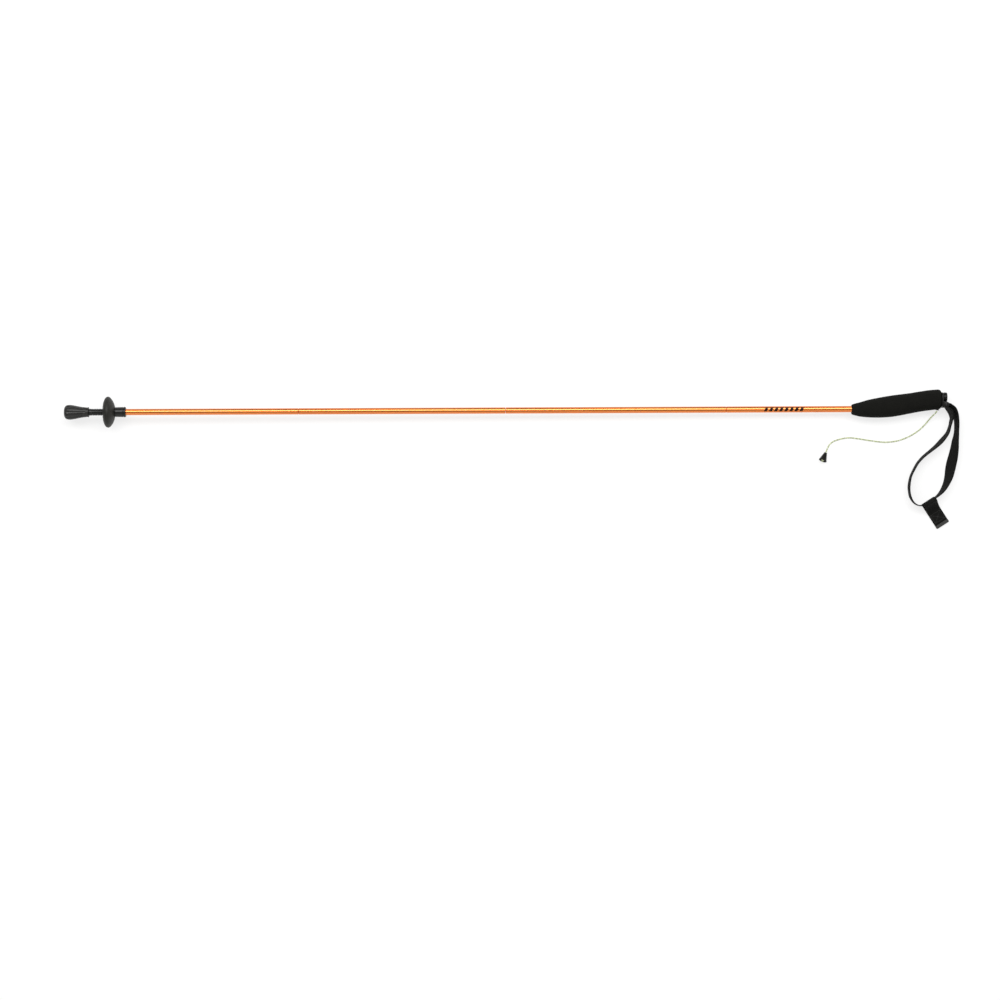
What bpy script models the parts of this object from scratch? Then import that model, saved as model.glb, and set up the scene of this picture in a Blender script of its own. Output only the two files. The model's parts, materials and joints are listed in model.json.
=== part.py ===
"""Folding trekking pole, 130 cm, lying on a flat surface.

Four anodised tubes joined by spigots, an angled foam grip with a wrist strap and a tension cord, and a
plastic tip with a trail basket and a rubber protector.

Dimensions are in millimetres and turn into metres where each mesh is made. Two frames are used:
the pole frame has +X along the shaft from the tip to the grip, +Y towards the raised side of the grip, and
+Z upwards; it leans a little, because the wide basket and the narrower grip both rest on the surface.
The floor frame has the same directions without the lean, with z = 0 on the surface.
"""

import math

import bmesh
import bpy
from mathutils import Matrix, Vector

MM = 0.001
GAP = 0.3  # clearance between neighbouring pieces
SPLIT = 0.15  # half the gap between two faces that meet at a section joint

# Shaft
TUBE_R = 4.75
TUBE_WALL = 0.7
LOWER_JOINT_X = 344.0
MIDDLE_JOINT_X = 648.5
UPPER_JOINT_X = 973.5
TUBE_BOTTOM_X = 76.0
TUBE_TOP_X = 1215.5
SPIGOT_R = 3.75
SPIGOT_BORE_R = 2.4
SPIGOT_HALF = 47.0
CORD_R = 1.0
FOLD_OFFSET = 5.05  # from the shaft's axis to a fold's pivot, just outside the tube

# Tip
PROTECTOR_L = 36.0
PROTECTOR_R = 11.0
STEM_R = 5.05
COLLAR_X = 74.5
COLLAR_END_X = 90.5
COLLAR_R = 7.1
COLLAR_TOP_R = 7.7
SOCKET_X = 75.6
BASKET_X = 57.2
BASKET_RIM_X = 64.5
BASKET_R = 23.0

# Grip
GRIP_X = 1158.3
GRIP_END_X = 1290.0
GRIP_HALF_WIDTH = 14.6
GRIP_WIDEST_X = 1240.0
CORE_X = 1196.2
CORE_R = 8.3
CORE_END_Y = 13.1
HEAD_PLATE_X = 1290.3
HEAD_PLATE_T = 2.4
CAP_Y = 17.0
CAP_R = 7.0
CAP_END_X = 1299.2
CAP_STUB_X = 1284.0
CAP_STUB_R = 2.6
PIN_X = 1296.6
PIN_Y = 6.0
PIN_R = 1.5
PIN_HALF = 12.6
LUG_R = 4.2
LUG_INNER_Z = 10.6
LUG_OUTER_Z = 12.9

# Strap
STRAP_W = 20.0
STRAP_T = 1.6
TAB_W = 21.0
TAB_L = 34.0
CLIP_L = 5.0
LEAN_SCALE = 0.05  # the band's lean is a third coordinate of its route, in mm per degree

# Cord bell
BELL_L = 13.0
BELL_MOUTH_R = 6.0
BELL_NECK_R = 2.5

# The lean that rests both the basket and the grip on the surface, and the place of the frames
LEAN = math.asin((BASKET_R - GRIP_HALF_WIDTH) / (GRIP_WIDEST_X - BASKET_RIM_X))
AXIS_HEIGHT = BASKET_R / math.cos(LEAN) + BASKET_RIM_X * math.tan(LEAN)
ORIGIN_X = 658.25
ORIGIN_Y = -74.75
FLOOR_FRAME = Matrix.Translation(Vector((-ORIGIN_X, -ORIGIN_Y, 0)) * MM)
TIP = Vector((-ORIGIN_X, -ORIGIN_Y, AXIS_HEIGHT)) * MM
POLE_FRAME = Matrix.Translation(TIP) @ Matrix.Rotation(LEAN, 4, "Y")

# Wrist strap, seen from above: x, y and the angle by which the band leans outwards
STRAP_OUTER = (
    (1300.9, 5.8, 12),
    (1304.5, 3.1, 15),
    (1308.1, -0.1, 17),
    (1310.4, -4.0, 16),
    (1312.2, -9.3, 14),
    (1313.2, -14.4, 12),
    (1313.8, -20.0, 11),
    (1314.0, -26.5, 10),
    (1313.8, -33.0, 10),
    (1313.3, -40.0, 13),
    (1312.2, -47.0, 19),
    (1310.7, -60.0, 28),
    (1308.2, -73.3, 37),
    (1306.5, -80.0, 39),
    (1304.4, -90.0, 37),
    (1302.3, -100.0, 29),
    (1298.7, -110.0, 19),
    (1293.2, -120.0, 11),
    (1287.5, -126.6, 4),
    (1281.6, -131.4, 0),
    (1272.4, -137.0, 0),
)
STRAP_INNER = (
    (1263.9, -142.2, 0),
    (1256.0, -141.9, 2),
    (1249.6, -137.4, 3),
    (1245.4, -130.0, 1),
    (1243.7, -122.2, 1),
    (1243.4, -114.0, 0),
    (1245.9, -100.0, 1),
    (1250.5, -90.0, 0),
    (1256.2, -80.0, -1),
    (1264.1, -71.1, -3),
    (1274.7, -62.4, -5),
    (1283.4, -55.3, -8),
    (1291.5, -47.3, -11),
    (1300.6, -35.3, -5),
    (1303.8, -25.0, -1),
    (1304.9, -20.0, -3),
    (1306.1, -14.4, -5),
    (1305.6, -9.2, -9),
    (1304.1, -4.4, -13),
    (1300.5, 0.0, -9),
    (1297.7, 2.7, -4),
)

# Tension cord, from the ferrule to the bell: x, y and height above the surface
CORD_ROUTE = (
    (1284.3, -3.4, 14.2),
    (1282.2, -6.6, 13.2),
    (1277.8, -11.2, 9.4),
    (1273.4, -16.8, 4.8),
    (1268.4, -23.0, 1.8),
    (1258.2, -32.4, 1.2),
    (1244.6, -40.6, 1.2),
    (1231.0, -45.9, 1.2),
    (1220.6, -48.0, 1.2),
    (1208.5, -48.7, 1.2),
    (1196.6, -47.6, 1.2),
    (1183.1, -45.6, 1.2),
    (1171.0, -43.6, 1.2),
    (1157.5, -42.0, 1.2),
    (1149.3, -42.6, 1.2),
    (1139.4, -44.9, 1.2),
    (1132.6, -47.6, 1.2),
    (1127.6, -51.8, 1.2),
)
BELL_START = Vector((1121.4, -64.2, 3.3))
BELL_AIM = Vector((-0.38, -0.89, 0.25)).normalized()


# ---------------------------------------------------------------- scene and materials


def clear_scene():
    for old in list(bpy.data.objects):
        bpy.data.objects.remove(old, do_unlink=True)


def material(name, colour, roughness, metallic=0.0):
    mat = bpy.data.materials.new(name)
    mat.use_nodes = True
    shader = mat.node_tree.nodes["Principled BSDF"]
    shader.inputs["Base Color"].default_value = (*colour, 1.0)
    shader.inputs["Roughness"].default_value = roughness
    shader.inputs["Metallic"].default_value = metallic
    return mat


def orange_anodised(name):
    return material(name, (0.76, 0.25, 0.03), 0.28, 1.0)


def bare_aluminium(name):
    return material(name, (0.62, 0.63, 0.65), 0.35, 1.0)


def black_plastic(name):
    return material(name, (0.022, 0.022, 0.024), 0.42)


def black_rubber(name):
    return material(name, (0.028, 0.028, 0.027), 0.7)


def foam(name):
    return material(name, (0.012, 0.012, 0.013), 0.9)


def webbing(name):
    return material(name, (0.014, 0.014, 0.015), 0.85)


def cord_yarn(name):
    return material(name, (0.62, 0.72, 0.26), 0.8)


def steel(name):
    return material(name, (0.6, 0.6, 0.6), 0.3, 1.0)


# ---------------------------------------------------------------- bodies and objects


class Body:
    """A rigid body: an empty on its joint's axis, and the frame its pieces are drawn in."""

    def __init__(self, name, frame, origin, parent=None):
        self.frame = frame
        self.origin = Vector(origin)
        self.empty = bpy.data.objects.new(name + "_axis", None)
        self.empty.empty_display_size = 0.02
        bpy.context.collection.objects.link(self.empty)
        if parent:
            self.empty.parent = parent.empty
            self.empty.matrix_parent_inverse = parent.place().inverted()
        self.empty.matrix_basis = self.place()

    def place(self):
        return self.frame @ Matrix.Translation(self.origin * MM)

    def add(self, obj):
        """Hangs an object, whose data is measured from the body's origin, under the body's empty."""
        bpy.context.collection.objects.link(obj)
        obj.parent = self.empty
        return obj


def mesh_object(name, bm, body, finish):
    bmesh.ops.recalc_face_normals(bm, faces=bm.faces)
    bmesh.ops.translate(bm, vec=-body.origin, verts=bm.verts)
    bmesh.ops.scale(bm, vec=(MM, MM, MM), verts=bm.verts)
    mesh = bpy.data.meshes.new(name)
    bm.to_mesh(mesh)
    bm.free()
    mesh.shade_smooth()
    mesh.set_sharp_from_angle(angle=math.radians(35))
    if finish:
        mesh.materials.append(finish(name))
    return body.add(bpy.data.objects.new(name, mesh))


def cutter(name, bm, body):
    obj = mesh_object(name, bm, body, None)
    obj.hide_render = True
    obj.display_type = "WIRE"
    return obj


def boolean(obj, tool, operation):
    mod = obj.modifiers.new(operation.lower() + "_" + tool.name, "BOOLEAN")
    mod.operation = operation
    mod.object = tool
    mod.solver = "EXACT"


# ---------------------------------------------------------------- shapes


def skin(rings, closed):
    """A body through rings of points; a ring of one point closes an end, and a long end ring is capped."""
    bm = bmesh.new()
    made = [[bm.verts.new(p) for p in ring] for ring in rings]
    pairs = list(zip(made, made[1:]))
    if closed:
        pairs.append((made[-1], made[0]))
    for a, b in pairs:
        count = max(len(a), len(b))
        for k in range(count):
            corners = [a[k % len(a)], a[(k + 1) % len(a)], b[(k + 1) % len(b)], b[k % len(b)]]
            bm.faces.new(list(dict.fromkeys(corners)))
    if not closed:
        for end in (made[0], made[-1]):
            if len(end) > 2:
                bm.faces.new(end)
    return bm


def rounded(points, radii, steps=3):
    """The polyline with the corners that have a radius turned into curves; the ends stay."""
    out = []
    last = len(points) - 1
    for k, (point, radius) in enumerate(zip(points, radii)):
        if radius == 0 or k in (0, last):
            out.append(point)
            continue
        here = Vector(point)
        before = (Vector(points[k - 1]) - here).normalized() * radius
        after = (Vector(points[k + 1]) - here).normalized() * radius
        for n in range(steps + 1):
            t = n / steps
            out.append(tuple(here + before * (1 - t) ** 2 + after * t**2))
    return out


def turned(profile, sides=24, closed=False, centre=(0, 0), shape=None):
    """A body turned about a line along X; profile holds (x, radius) and shape may change the radius."""
    rings = []
    for x, radius in profile:
        if radius == 0:
            rings.append([(x, *centre)])
            continue
        ring = []
        for k in range(sides):
            angle = 2 * math.pi * k / sides
            r = shape(x, radius, angle) if shape else radius
            ring.append((x, centre[0] + r * math.cos(angle), centre[1] + r * math.sin(angle)))
        rings.append(ring)
    return skin(rings, closed)


def oval(x, centre_y, half_y, half_z, sides=32, power=2.0):
    """A ring of points on a rounded outline across the shaft; a higher power is squarer."""
    ring = []
    for k in range(sides):
        angle = 2 * math.pi * k / sides
        c = math.cos(angle)
        s = math.sin(angle)
        y = math.copysign(abs(c) ** (2 / power), c)
        z = math.copysign(abs(s) ** (2 / power), s)
        ring.append((x, centre_y + half_y * y, half_z * z))
    return ring


def rod_between(start, end, radius, sides=16):
    """A straight round rod between two points."""
    start = Vector(start)
    aim = Vector(end) - start
    turn = aim.to_track_quat("X", "Z").to_matrix()
    rings = []
    for along in (0, aim.length):
        ring = []
        for k in range(sides):
            angle = 2 * math.pi * k / sides
            spoke = Vector((along, radius * math.cos(angle), radius * math.sin(angle)))
            ring.append(start + turn @ spoke)
        rings.append(ring)
    return skin(rings, False)


def aimed(bm, start, aim):
    """Moves a body turned about the X axis so that its axis starts at a point and runs along aim."""
    turn = aim.to_track_quat("X", "Z").to_matrix().to_4x4()
    bmesh.ops.transform(bm, matrix=Matrix.Translation(start) @ turn, verts=bm.verts)
    return bm


def smooth_route(points, spacing, cyclic=False):
    """Points at an even spacing along a smooth curve through the given ones."""
    points = [Vector(p) for p in points]
    count = len(points)
    spans = count if cyclic else count - 1
    fine = []
    for k in range(spans):
        p1 = points[k]
        p2 = points[(k + 1) % count]
        p0 = points[(k - 1) % count] if cyclic or k > 0 else p1 * 2 - p2
        p3 = points[(k + 2) % count] if cyclic or k + 2 < count else p2 * 2 - p1
        d0 = max((p1 - p0).length, 1e-6) ** 0.5
        d1 = max((p2 - p1).length, 1e-6) ** 0.5
        d2 = max((p3 - p2).length, 1e-6) ** 0.5
        m1 = (p2 - p1) + d1 * ((p1 - p0) / d0 - (p2 - p0) / (d0 + d1))
        m2 = (p2 - p1) + d1 * ((p3 - p2) / d2 - (p3 - p1) / (d1 + d2))
        for n in range(24):
            t = n / 24
            h1 = (1 + 2 * t) * (1 - t) ** 2
            h2 = t * (1 - t) ** 2
            h3 = t * t * (3 - 2 * t)
            h4 = t * t * (t - 1)
            fine.append(p1 * h1 + m1 * h2 + p2 * h3 + m2 * h4)
    fine.append(points[0].copy() if cyclic else points[-1].copy())
    lengths = [0.0]
    for a, b in zip(fine, fine[1:]):
        lengths.append(lengths[-1] + (b - a).length)
    steps = max(2, round(lengths[-1] / spacing))
    out = []
    k = 0
    for n in range(steps + (0 if cyclic else 1)):
        want = lengths[-1] * n / steps
        while k < len(fine) - 2 and lengths[k + 1] < want:
            k += 1
        t = (want - lengths[k]) / max(lengths[k + 1] - lengths[k], 1e-9)
        out.append(fine[k].lerp(fine[k + 1], t))
    return out


def tube_along(points, radius, sides=10):
    """A solid round bar that follows a route in the plane z = constant."""
    rings = []
    up = Vector((0, 0, 1))
    for k, point in enumerate(points):
        ahead = points[min(k + 1, len(points) - 1)] - points[max(k - 1, 0)]
        across = up.cross(ahead.normalized())
        ring = []
        for n in range(sides):
            angle = 2 * math.pi * n / sides
            ring.append(point + across * radius * math.cos(angle) + up * radius * math.sin(angle))
        rings.append(ring)
    return skin(rings, False)


def cord_curve(name, points, body, finish):
    """A free cord: a poly curve with a round bevel and filled caps."""
    curve = bpy.data.curves.new(name, "CURVE")
    curve.dimensions = "3D"
    curve.bevel_depth = CORD_R * MM
    curve.bevel_resolution = 2
    curve.use_fill_caps = True
    spline = curve.splines.new("POLY")
    spline.points.add(len(points) - 1)
    for slot, point in zip(spline.points, points):
        slot.co = (*((point - body.origin) * MM), 1.0)
    curve.materials.append(finish(name))
    return body.add(bpy.data.objects.new(name, curve))


# ---------------------------------------------------------------- shaft


def make_tube(number, start, end, body):
    bore = TUBE_R - TUBE_WALL
    profile = [(start, bore), (start, TUBE_R), (end, TUBE_R), (end, bore)]
    mesh_object(f"tube_{number}", turned(profile, 24, closed=True), body, orange_anodised)


def make_spigot(name, start, end, body):
    profile = [(start, SPIGOT_BORE_R), (start, SPIGOT_R), (end, SPIGOT_R), (end, SPIGOT_BORE_R)]
    mesh_object(name, turned(profile, 24, closed=True), body, bare_aluminium)


def make_inner_cord(number, start, end, body):
    profile = [(start, 0), (start, CORD_R), (end, CORD_R), (end, 0)]
    mesh_object(f"inner_cord_{number}", turned(profile, 12), body, cord_yarn)


def make_section(number, label, joint_x, link, section, lower_end):
    """One lower section with both halves of the spigot that joins it to the section above."""
    make_spigot(f"{label}_spigot_top_half", joint_x + SPLIT, joint_x + SPIGOT_HALF, link)
    make_spigot(f"{label}_spigot_bottom_half", joint_x - SPIGOT_HALF, joint_x - SPLIT, section)
    make_tube(number, lower_end, joint_x - SPLIT, section)


# ---------------------------------------------------------------- tip


def make_tip_body(body):
    """Socket for the tube, threaded neck for the basket and a tapered stem for the carbide point."""
    points = [
        (17.0, 0),
        (17.0, 2.5),
        (12.6, 2.5),
        (12.6, 3.4),
        (15.0, 4.1),
        (34.0, 4.55),
        (39.0, STEM_R),
        (COLLAR_X, STEM_R),
        (COLLAR_X, COLLAR_R),
        (87.5, COLLAR_TOP_R),
        (89.4, COLLAR_TOP_R),
        (COLLAR_END_X, 6.3),
        (COLLAR_END_X, TUBE_R + GAP),
        (SOCKET_X, TUBE_R + GAP),
        (SOCKET_X, 0),
    ]
    mesh_object("tip_body", turned(points, 24), body, black_plastic)


def make_carbide_tip(body):
    points = [(9.1, 0), (9.1, 1.3), (9.8, 2.1), (16.6, 2.1), (16.6, 0)]
    mesh_object("carbide_tip", turned(points, 12), body, steel)


def make_cord_anchor(body):
    points = [(76.4, 0), (76.4, 3.5), (81.5, 3.5), (81.5, 0)]
    mesh_object("cord_anchor", turned(points, 16), body, black_plastic)


def make_basket(body):
    """A small round trail basket: a lens shape, flatter towards the tip and domed towards the shaft."""
    bore = STEM_R + GAP
    end_x = COLLAR_X - GAP
    points = [
        (BASKET_X, bore),
        (BASKET_X, 7.4),
        (57.4, 12.0),
        (58.5, 17.2),
        (60.1, 20.3),
        (62.0, 22.2),
        (BASKET_RIM_X, BASKET_R),
        (66.4, 22.2),
        (69.8, 18.4),
        (72.6, 13.0),
        (73.8, 9.0),
        (end_x, 7.4),
        (end_x, bore),
    ]
    mesh_object("basket", turned(points, 40, closed=True), body, black_plastic)


def protector_flutes(x, radius, angle):
    """Eight shallow flutes that fade out at the two ends of the protector."""
    fade = min(max((x - 2.0) / 5.0, 0.0), 1.0) * min(max((33.0 - x) / 6.0, 0.0), 1.0)
    if radius < 5.6:
        return radius
    return radius - 0.7 * fade * (0.5 - 0.5 * math.cos(8 * angle))


def make_tip_protector(body):
    outline = [
        (0, 0),
        (0, 6.3),
        (0.9, 8.2),
        (2.6, 9.9),
        (5.0, 10.8),
        (7.6, PROTECTOR_R),
        (11.0, 10.8),
        (17.0, 9.7),
        (25.0, 8.1),
        (33.6, 7.1),
        (34.0, 7.4),
        (PROTECTOR_L, 7.4),
        (PROTECTOR_L, 5.2),
        (14.0, 4.6),
        (7.2, 4.5),
        (7.2, 0),
    ]
    mesh_object("tip_protector", turned(outline, 32, shape=protector_flutes), body, black_rubber)


def make_protector_washer(body):
    points = [(7.5, 0), (7.5, 4.1), (8.7, 4.1), (8.7, 0)]
    mesh_object("protector_washer", turned(points, 16), body, steel)


# ---------------------------------------------------------------- grip


def core_axis_rings(radius, start, end):
    """Rings of the angled core: straight over the tube, then rising to the head."""
    bend = ((1217, 0.0), (1228, 1.4), (1240, 3.6), (1260, 7.4), (1280, 11.2))
    stations = ((start, 0.0), *bend, (end, CORE_END_Y))
    return [oval(x, y, radius, radius) for x, y in stations]


def cord_channel_route():
    """The cord's way through the core, from the tube's top end to the ferrule."""
    points = ((1213, 0), (1228, 1.4), (1245, 4.4), (1262, 7.6), (1273, 8.8), (1280.4, 7.2), (1284.4, 2.8))
    return smooth_route([(x, y, 0) for x, y in points], 4.0)


def ferrule_line():
    """The ferrule's outer end and the direction out of the grip."""
    outwards = Vector((-0.2, -0.98, 0)).normalized()
    return Vector((1284.2, -2.0, 0)), outwards


def make_grip_core(body):
    outer = core_axis_rings(CORE_R, CORE_X, GRIP_END_X)
    bore = TUBE_R + GAP
    bottom_x = TUBE_TOP_X + GAP
    socket = [[(bottom_x, 0, 0)], oval(bottom_x, 0, bore, bore), oval(CORE_X, 0, bore, bore)]
    core = mesh_object("grip_core", skin([*socket, *outer], False), body, black_plastic)
    channel = cutter("core_channel", tube_along(cord_channel_route(), 1.5), body)
    boolean(core, channel, "DIFFERENCE")
    cap_hole = rod_between((CAP_STUB_X - GAP, CAP_Y, 0), (HEAD_PLATE_X, CAP_Y, 0), CAP_STUB_R + GAP)
    boolean(core, cutter("core_cap_hole", cap_hole, body), "DIFFERENCE")


def grip_outline():
    """Rings of the foam's outer shape: x, centre height, half height and half width."""
    stations = (
        (GRIP_X, -0.6, 6.4, 6.4),
        (GRIP_X + 0.8, -0.6, 7.4, 7.4),
        (1164.0, -0.6, 8.9, 8.8),
        (1171.0, -0.5, 10.6, 10.3),
        (1182.0, 0.5, 12.8, 12.3),
        (1194.0, 1.5, 14.3, 13.6),
        (1206.0, 2.7, 15.3, 14.3),
        (1218.0, 4.1, 15.8, 14.5),
        (1230.0, 5.8, 15.6, GRIP_HALF_WIDTH),
        (1244.0, 8.0, 15.1, GRIP_HALF_WIDTH),
        (1258.0, 10.4, 14.9, 14.4),
        (1272.0, 12.4, 14.9, 14.3),
        (1282.0, 13.4, 14.8, 14.2),
        (1286.6, 13.7, 14.6, 14.0),
        (1288.8, 13.8, 13.8, 13.2),
        (1289.7, 13.8, 12.7, 12.2),
        (GRIP_END_X, 13.8, 11.4, 11.0),
    )
    return [oval(x, y, half_y, half_z, power=2.15) for x, y, half_y, half_z in stations]


def make_grip_foam(body):
    bore = TUBE_R + GAP
    inner = [oval(GRIP_X, 0, bore, bore), oval(CORE_X - GAP, 0, bore, bore)]
    inner += core_axis_rings(CORE_R + GAP, CORE_X - GAP, GRIP_END_X)
    bm = skin([*grip_outline(), *reversed(inner)], True)
    grip = mesh_object("grip_foam", bm, body, foam)
    end, outwards = ferrule_line()
    deep = end - outwards * 7.0
    boolean(grip, cutter("foam_channel", rod_between(deep, end + outwards * 4, 2.9), body), "DIFFERENCE")
    seat = rod_between(end - outwards * 1.5, end + outwards * 4, 3.7)
    boolean(grip, cutter("foam_flange_seat", seat, body), "DIFFERENCE")


def make_ferrule(body):
    """A flanged ferrule in the underside of the grip that the tension cord runs out of."""
    profile = [(0, 1.35), (0, 2.6), (4.2, 2.6), (4.2, 3.4), (5.2, 3.2), (5.2, 1.35)]
    end, outwards = ferrule_line()
    bm = aimed(turned(profile, 16, closed=True), end - outwards * 5.2, outwards)
    mesh_object("cord_ferrule", bm, body, black_plastic)


def make_grip_head(body):
    """The end plate of the grip, with two lugs that hold the strap pin."""
    front = HEAD_PLATE_X + HEAD_PLATE_T
    root_x = HEAD_PLATE_X + 0.6
    chamfer = 0.7
    plate = [
        oval(HEAD_PLATE_X, 13.2, 11.0, 13.2, power=3.4),
        oval(front - chamfer, 13.2, 11.0, 13.2, power=3.4),
        oval(front, 13.2, 11.0 - chamfer, 13.2 - chamfer, power=3.4),
    ]
    head = mesh_object("grip_head", skin(plate, False), body, black_plastic)
    for side in (1, -1):
        low = side * LUG_INNER_Z
        high = side * LUG_OUTER_Z
        outline = [(root_x, PIN_Y - LUG_R)]
        for k in range(9):
            angle = math.radians(-90 + 180 * k / 8)
            outline.append((PIN_X + LUG_R * math.cos(angle), PIN_Y + LUG_R * math.sin(angle)))
        outline.append((root_x, PIN_Y + LUG_R))
        rings = [[(x, y, z) for x, y in outline] for z in (low, high)]
        label = "top" if side > 0 else "bottom"
        boolean(head, cutter(f"head_lug_{label}", skin(rings, False), body), "UNION")
    beyond = LUG_OUTER_Z + 5
    pin_hole = rod_between((PIN_X, PIN_Y, -beyond), (PIN_X, PIN_Y, beyond), PIN_R + GAP)
    boolean(head, cutter("head_pin_hole", pin_hole, body), "DIFFERENCE")
    cap_hole = rod_between((HEAD_PLATE_X - 5, CAP_Y, 0), (front + 5, CAP_Y, 0), CAP_STUB_R + GAP)
    boolean(head, cutter("head_cap_hole", cap_hole, body), "DIFFERENCE")


def make_head_cap(body):
    back = HEAD_PLATE_X + HEAD_PLATE_T + GAP
    outline = [(CAP_STUB_X, 0), (CAP_STUB_X, CAP_STUB_R), (back, CAP_STUB_R), (back, 6.3)]
    outline += [(1294.4, 6.3), (1294.4, CAP_R)]
    outline += [(CAP_END_X, CAP_R), (CAP_END_X, 0)]
    profile = rounded(outline, (0, 0, 0, 0, 0, 0.4, 1.4, 0))
    mesh_object("head_cap", turned(profile, 24, centre=(CAP_Y, 0)), body, black_plastic)


def make_strap_pin(body):
    pin = rod_between((PIN_X, PIN_Y, -PIN_HALF), (PIN_X, PIN_Y, PIN_HALF), PIN_R, 12)
    mesh_object("strap_pin", pin, body, steel)


def make_inner_cord_grip(body):
    mesh_object("inner_cord_grip", tube_along(cord_channel_route()[1:-1], CORD_R), body, cord_yarn)


# ---------------------------------------------------------------- strap


def floor_height_of_axis(x):
    """Height of the shaft's axis above the surface at a place along the shaft."""
    return AXIS_HEIGHT - x * math.tan(LEAN)


def strap_controls():
    """The band's closed route round the pin and out along its two legs: x, y and outward lean."""
    wrap_r = PIN_R + 0.45 + STRAP_T / 2
    route = []
    for degrees in (-135, -180, -225, -270, -315):
        angle = math.radians(degrees)
        route.append((PIN_X + wrap_r * math.cos(angle), PIN_Y + wrap_r * math.sin(angle), 0))
    return [*route, *STRAP_OUTER, *STRAP_INNER]


def strap_height(place, tilt):
    """Height of the band's middle: at the pin's middle there, and lying on the surface further out."""
    lying = STRAP_W / 2 * math.cos(tilt) + STRAP_T / 2 * abs(math.sin(tilt)) + 0.2
    from_pin = math.hypot(place.x - PIN_X, place.y - PIN_Y)
    settle = min(max((from_pin - 8.0) / 45.0, 0.0), 1.0)
    settle = settle * settle * (3 - 2 * settle)
    at_pin = floor_height_of_axis(PIN_X)
    return at_pin + (lying - at_pin) * settle


def make_strap_webbing(body):
    """A closed band of webbing on its edge, leaning over where the loop lies flatter."""
    marks = [(x, y, lean * LEAN_SCALE) for x, y, lean in strap_controls()]
    places = smooth_route(marks, 1.8, cyclic=True)
    tilts = [math.radians(place.z / LEAN_SCALE) for place in places]
    for place, tilt in zip(places, tilts):
        place.z = strap_height(place, tilt)
    rings = []
    for k, (place, tilt) in enumerate(zip(places, tilts)):
        ahead = (places[(k + 1) % len(places)] - places[k - 1]).normalized()
        outwards = Vector((-ahead.y, ahead.x, 0)).normalized()
        side = (Vector((0, 0, 1)) * math.cos(tilt) + outwards * math.sin(tilt)) * STRAP_W / 2
        through = ahead.cross(side).normalized() * STRAP_T / 2
        rings.append([place + side + through, place + side - through])
        rings[-1] += [place - side - through, place - side + through]
    mesh_object("strap_webbing", skin(rings, True), body, webbing)


def tab_frame():
    """Middle of the tab's top edge, its direction and the direction across it, seen from above."""
    left = Vector((1263.9, -143.3, 0))
    right = Vector((1281.6, -132.0, 0))
    across = (right - left).normalized()
    along = Vector((across.y, -across.x, 0))
    return (left + right) / 2 + along * (STRAP_T / 2 + 1.0), along, across


def tab_rings(stations, half_width):
    """Rings across the tab: distance along it, height of its underside and of its top."""
    start, along, across = tab_frame()
    up = Vector((0, 0, 1))
    rings = []
    for distance, low, high in stations:
        middle = start + along * distance
        side = across * half_width
        ring = [middle - side + up * low, middle + side + up * low]
        rings.append(ring + [middle + side + up * high, middle - side + up * high])
    return rings


def make_strap_tab(body):
    """Doubled webbing sewn to the loop: as tall as the band there, then flat on the surface."""
    stations = ((0, 0.3, 17.0), (4.0, 0.3, 12.4), (8.0, 0.3, 7.6), (12.0, 0.3, 4.0), (15.0, 0.3, 3.2))
    stations += ((TAB_L - GAP, 0.3, 3.2),)
    mesh_object("strap_tab", skin(tab_rings(stations, TAB_W / 2), False), body, webbing)


def make_tab_clip(body):
    end = TAB_L + CLIP_L
    stations = ((TAB_L, 0.2, 3.8), (TAB_L + 0.5, 0.2, 4.2), (end - 1.4, 0.2, 4.2), (end - 0.4, 0.6, 3.6))
    stations += ((end, 1.4, 2.6),)
    mesh_object("tab_end_clip", skin(tab_rings(stations, TAB_W / 2 + 0.2), False), body, black_plastic)


# ---------------------------------------------------------------- tension cord


def make_pull_cord(body):
    """From the ferrule over the surface and straight into the bell, as far as the knot."""
    straight = [BELL_START + BELL_AIM * d for d in (-4.0, 0.0, BELL_L - 5.6)]
    route = smooth_route([*CORD_ROUTE, BELL_START - BELL_AIM * 8.3], 4.2)
    cord_curve("pull_cord", [*route, *straight], body, cord_yarn)


def make_cord_bell(body):
    outer = [(0, 1.35), (0, BELL_NECK_R - 0.4), (0.5, BELL_NECK_R), (2.6, 2.9)]
    outer += [(BELL_L - 0.6, BELL_MOUTH_R), (BELL_L, BELL_MOUTH_R - 0.4)]
    inner = [(BELL_L, 5.0), (5.0, 2.4), (4.4, 1.35)]
    bm = aimed(turned(outer + inner, 20, closed=True), BELL_START, BELL_AIM)
    mesh_object("cord_bell", bm, body, black_plastic)


def make_cord_knot(body):
    profile = []
    for k in range(9):
        angle = math.pi * k / 8
        radius = 2.1 * math.sin(angle) if 0 < k < 8 else 0
        profile.append((2.6 - 2.6 * math.cos(angle), radius))
    bm = aimed(turned(profile, 12), BELL_START + BELL_AIM * (BELL_L - 5.3), BELL_AIM)
    mesh_object("cord_knot", bm, body, cord_yarn)


# ---------------------------------------------------------------- the whole pole


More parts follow.
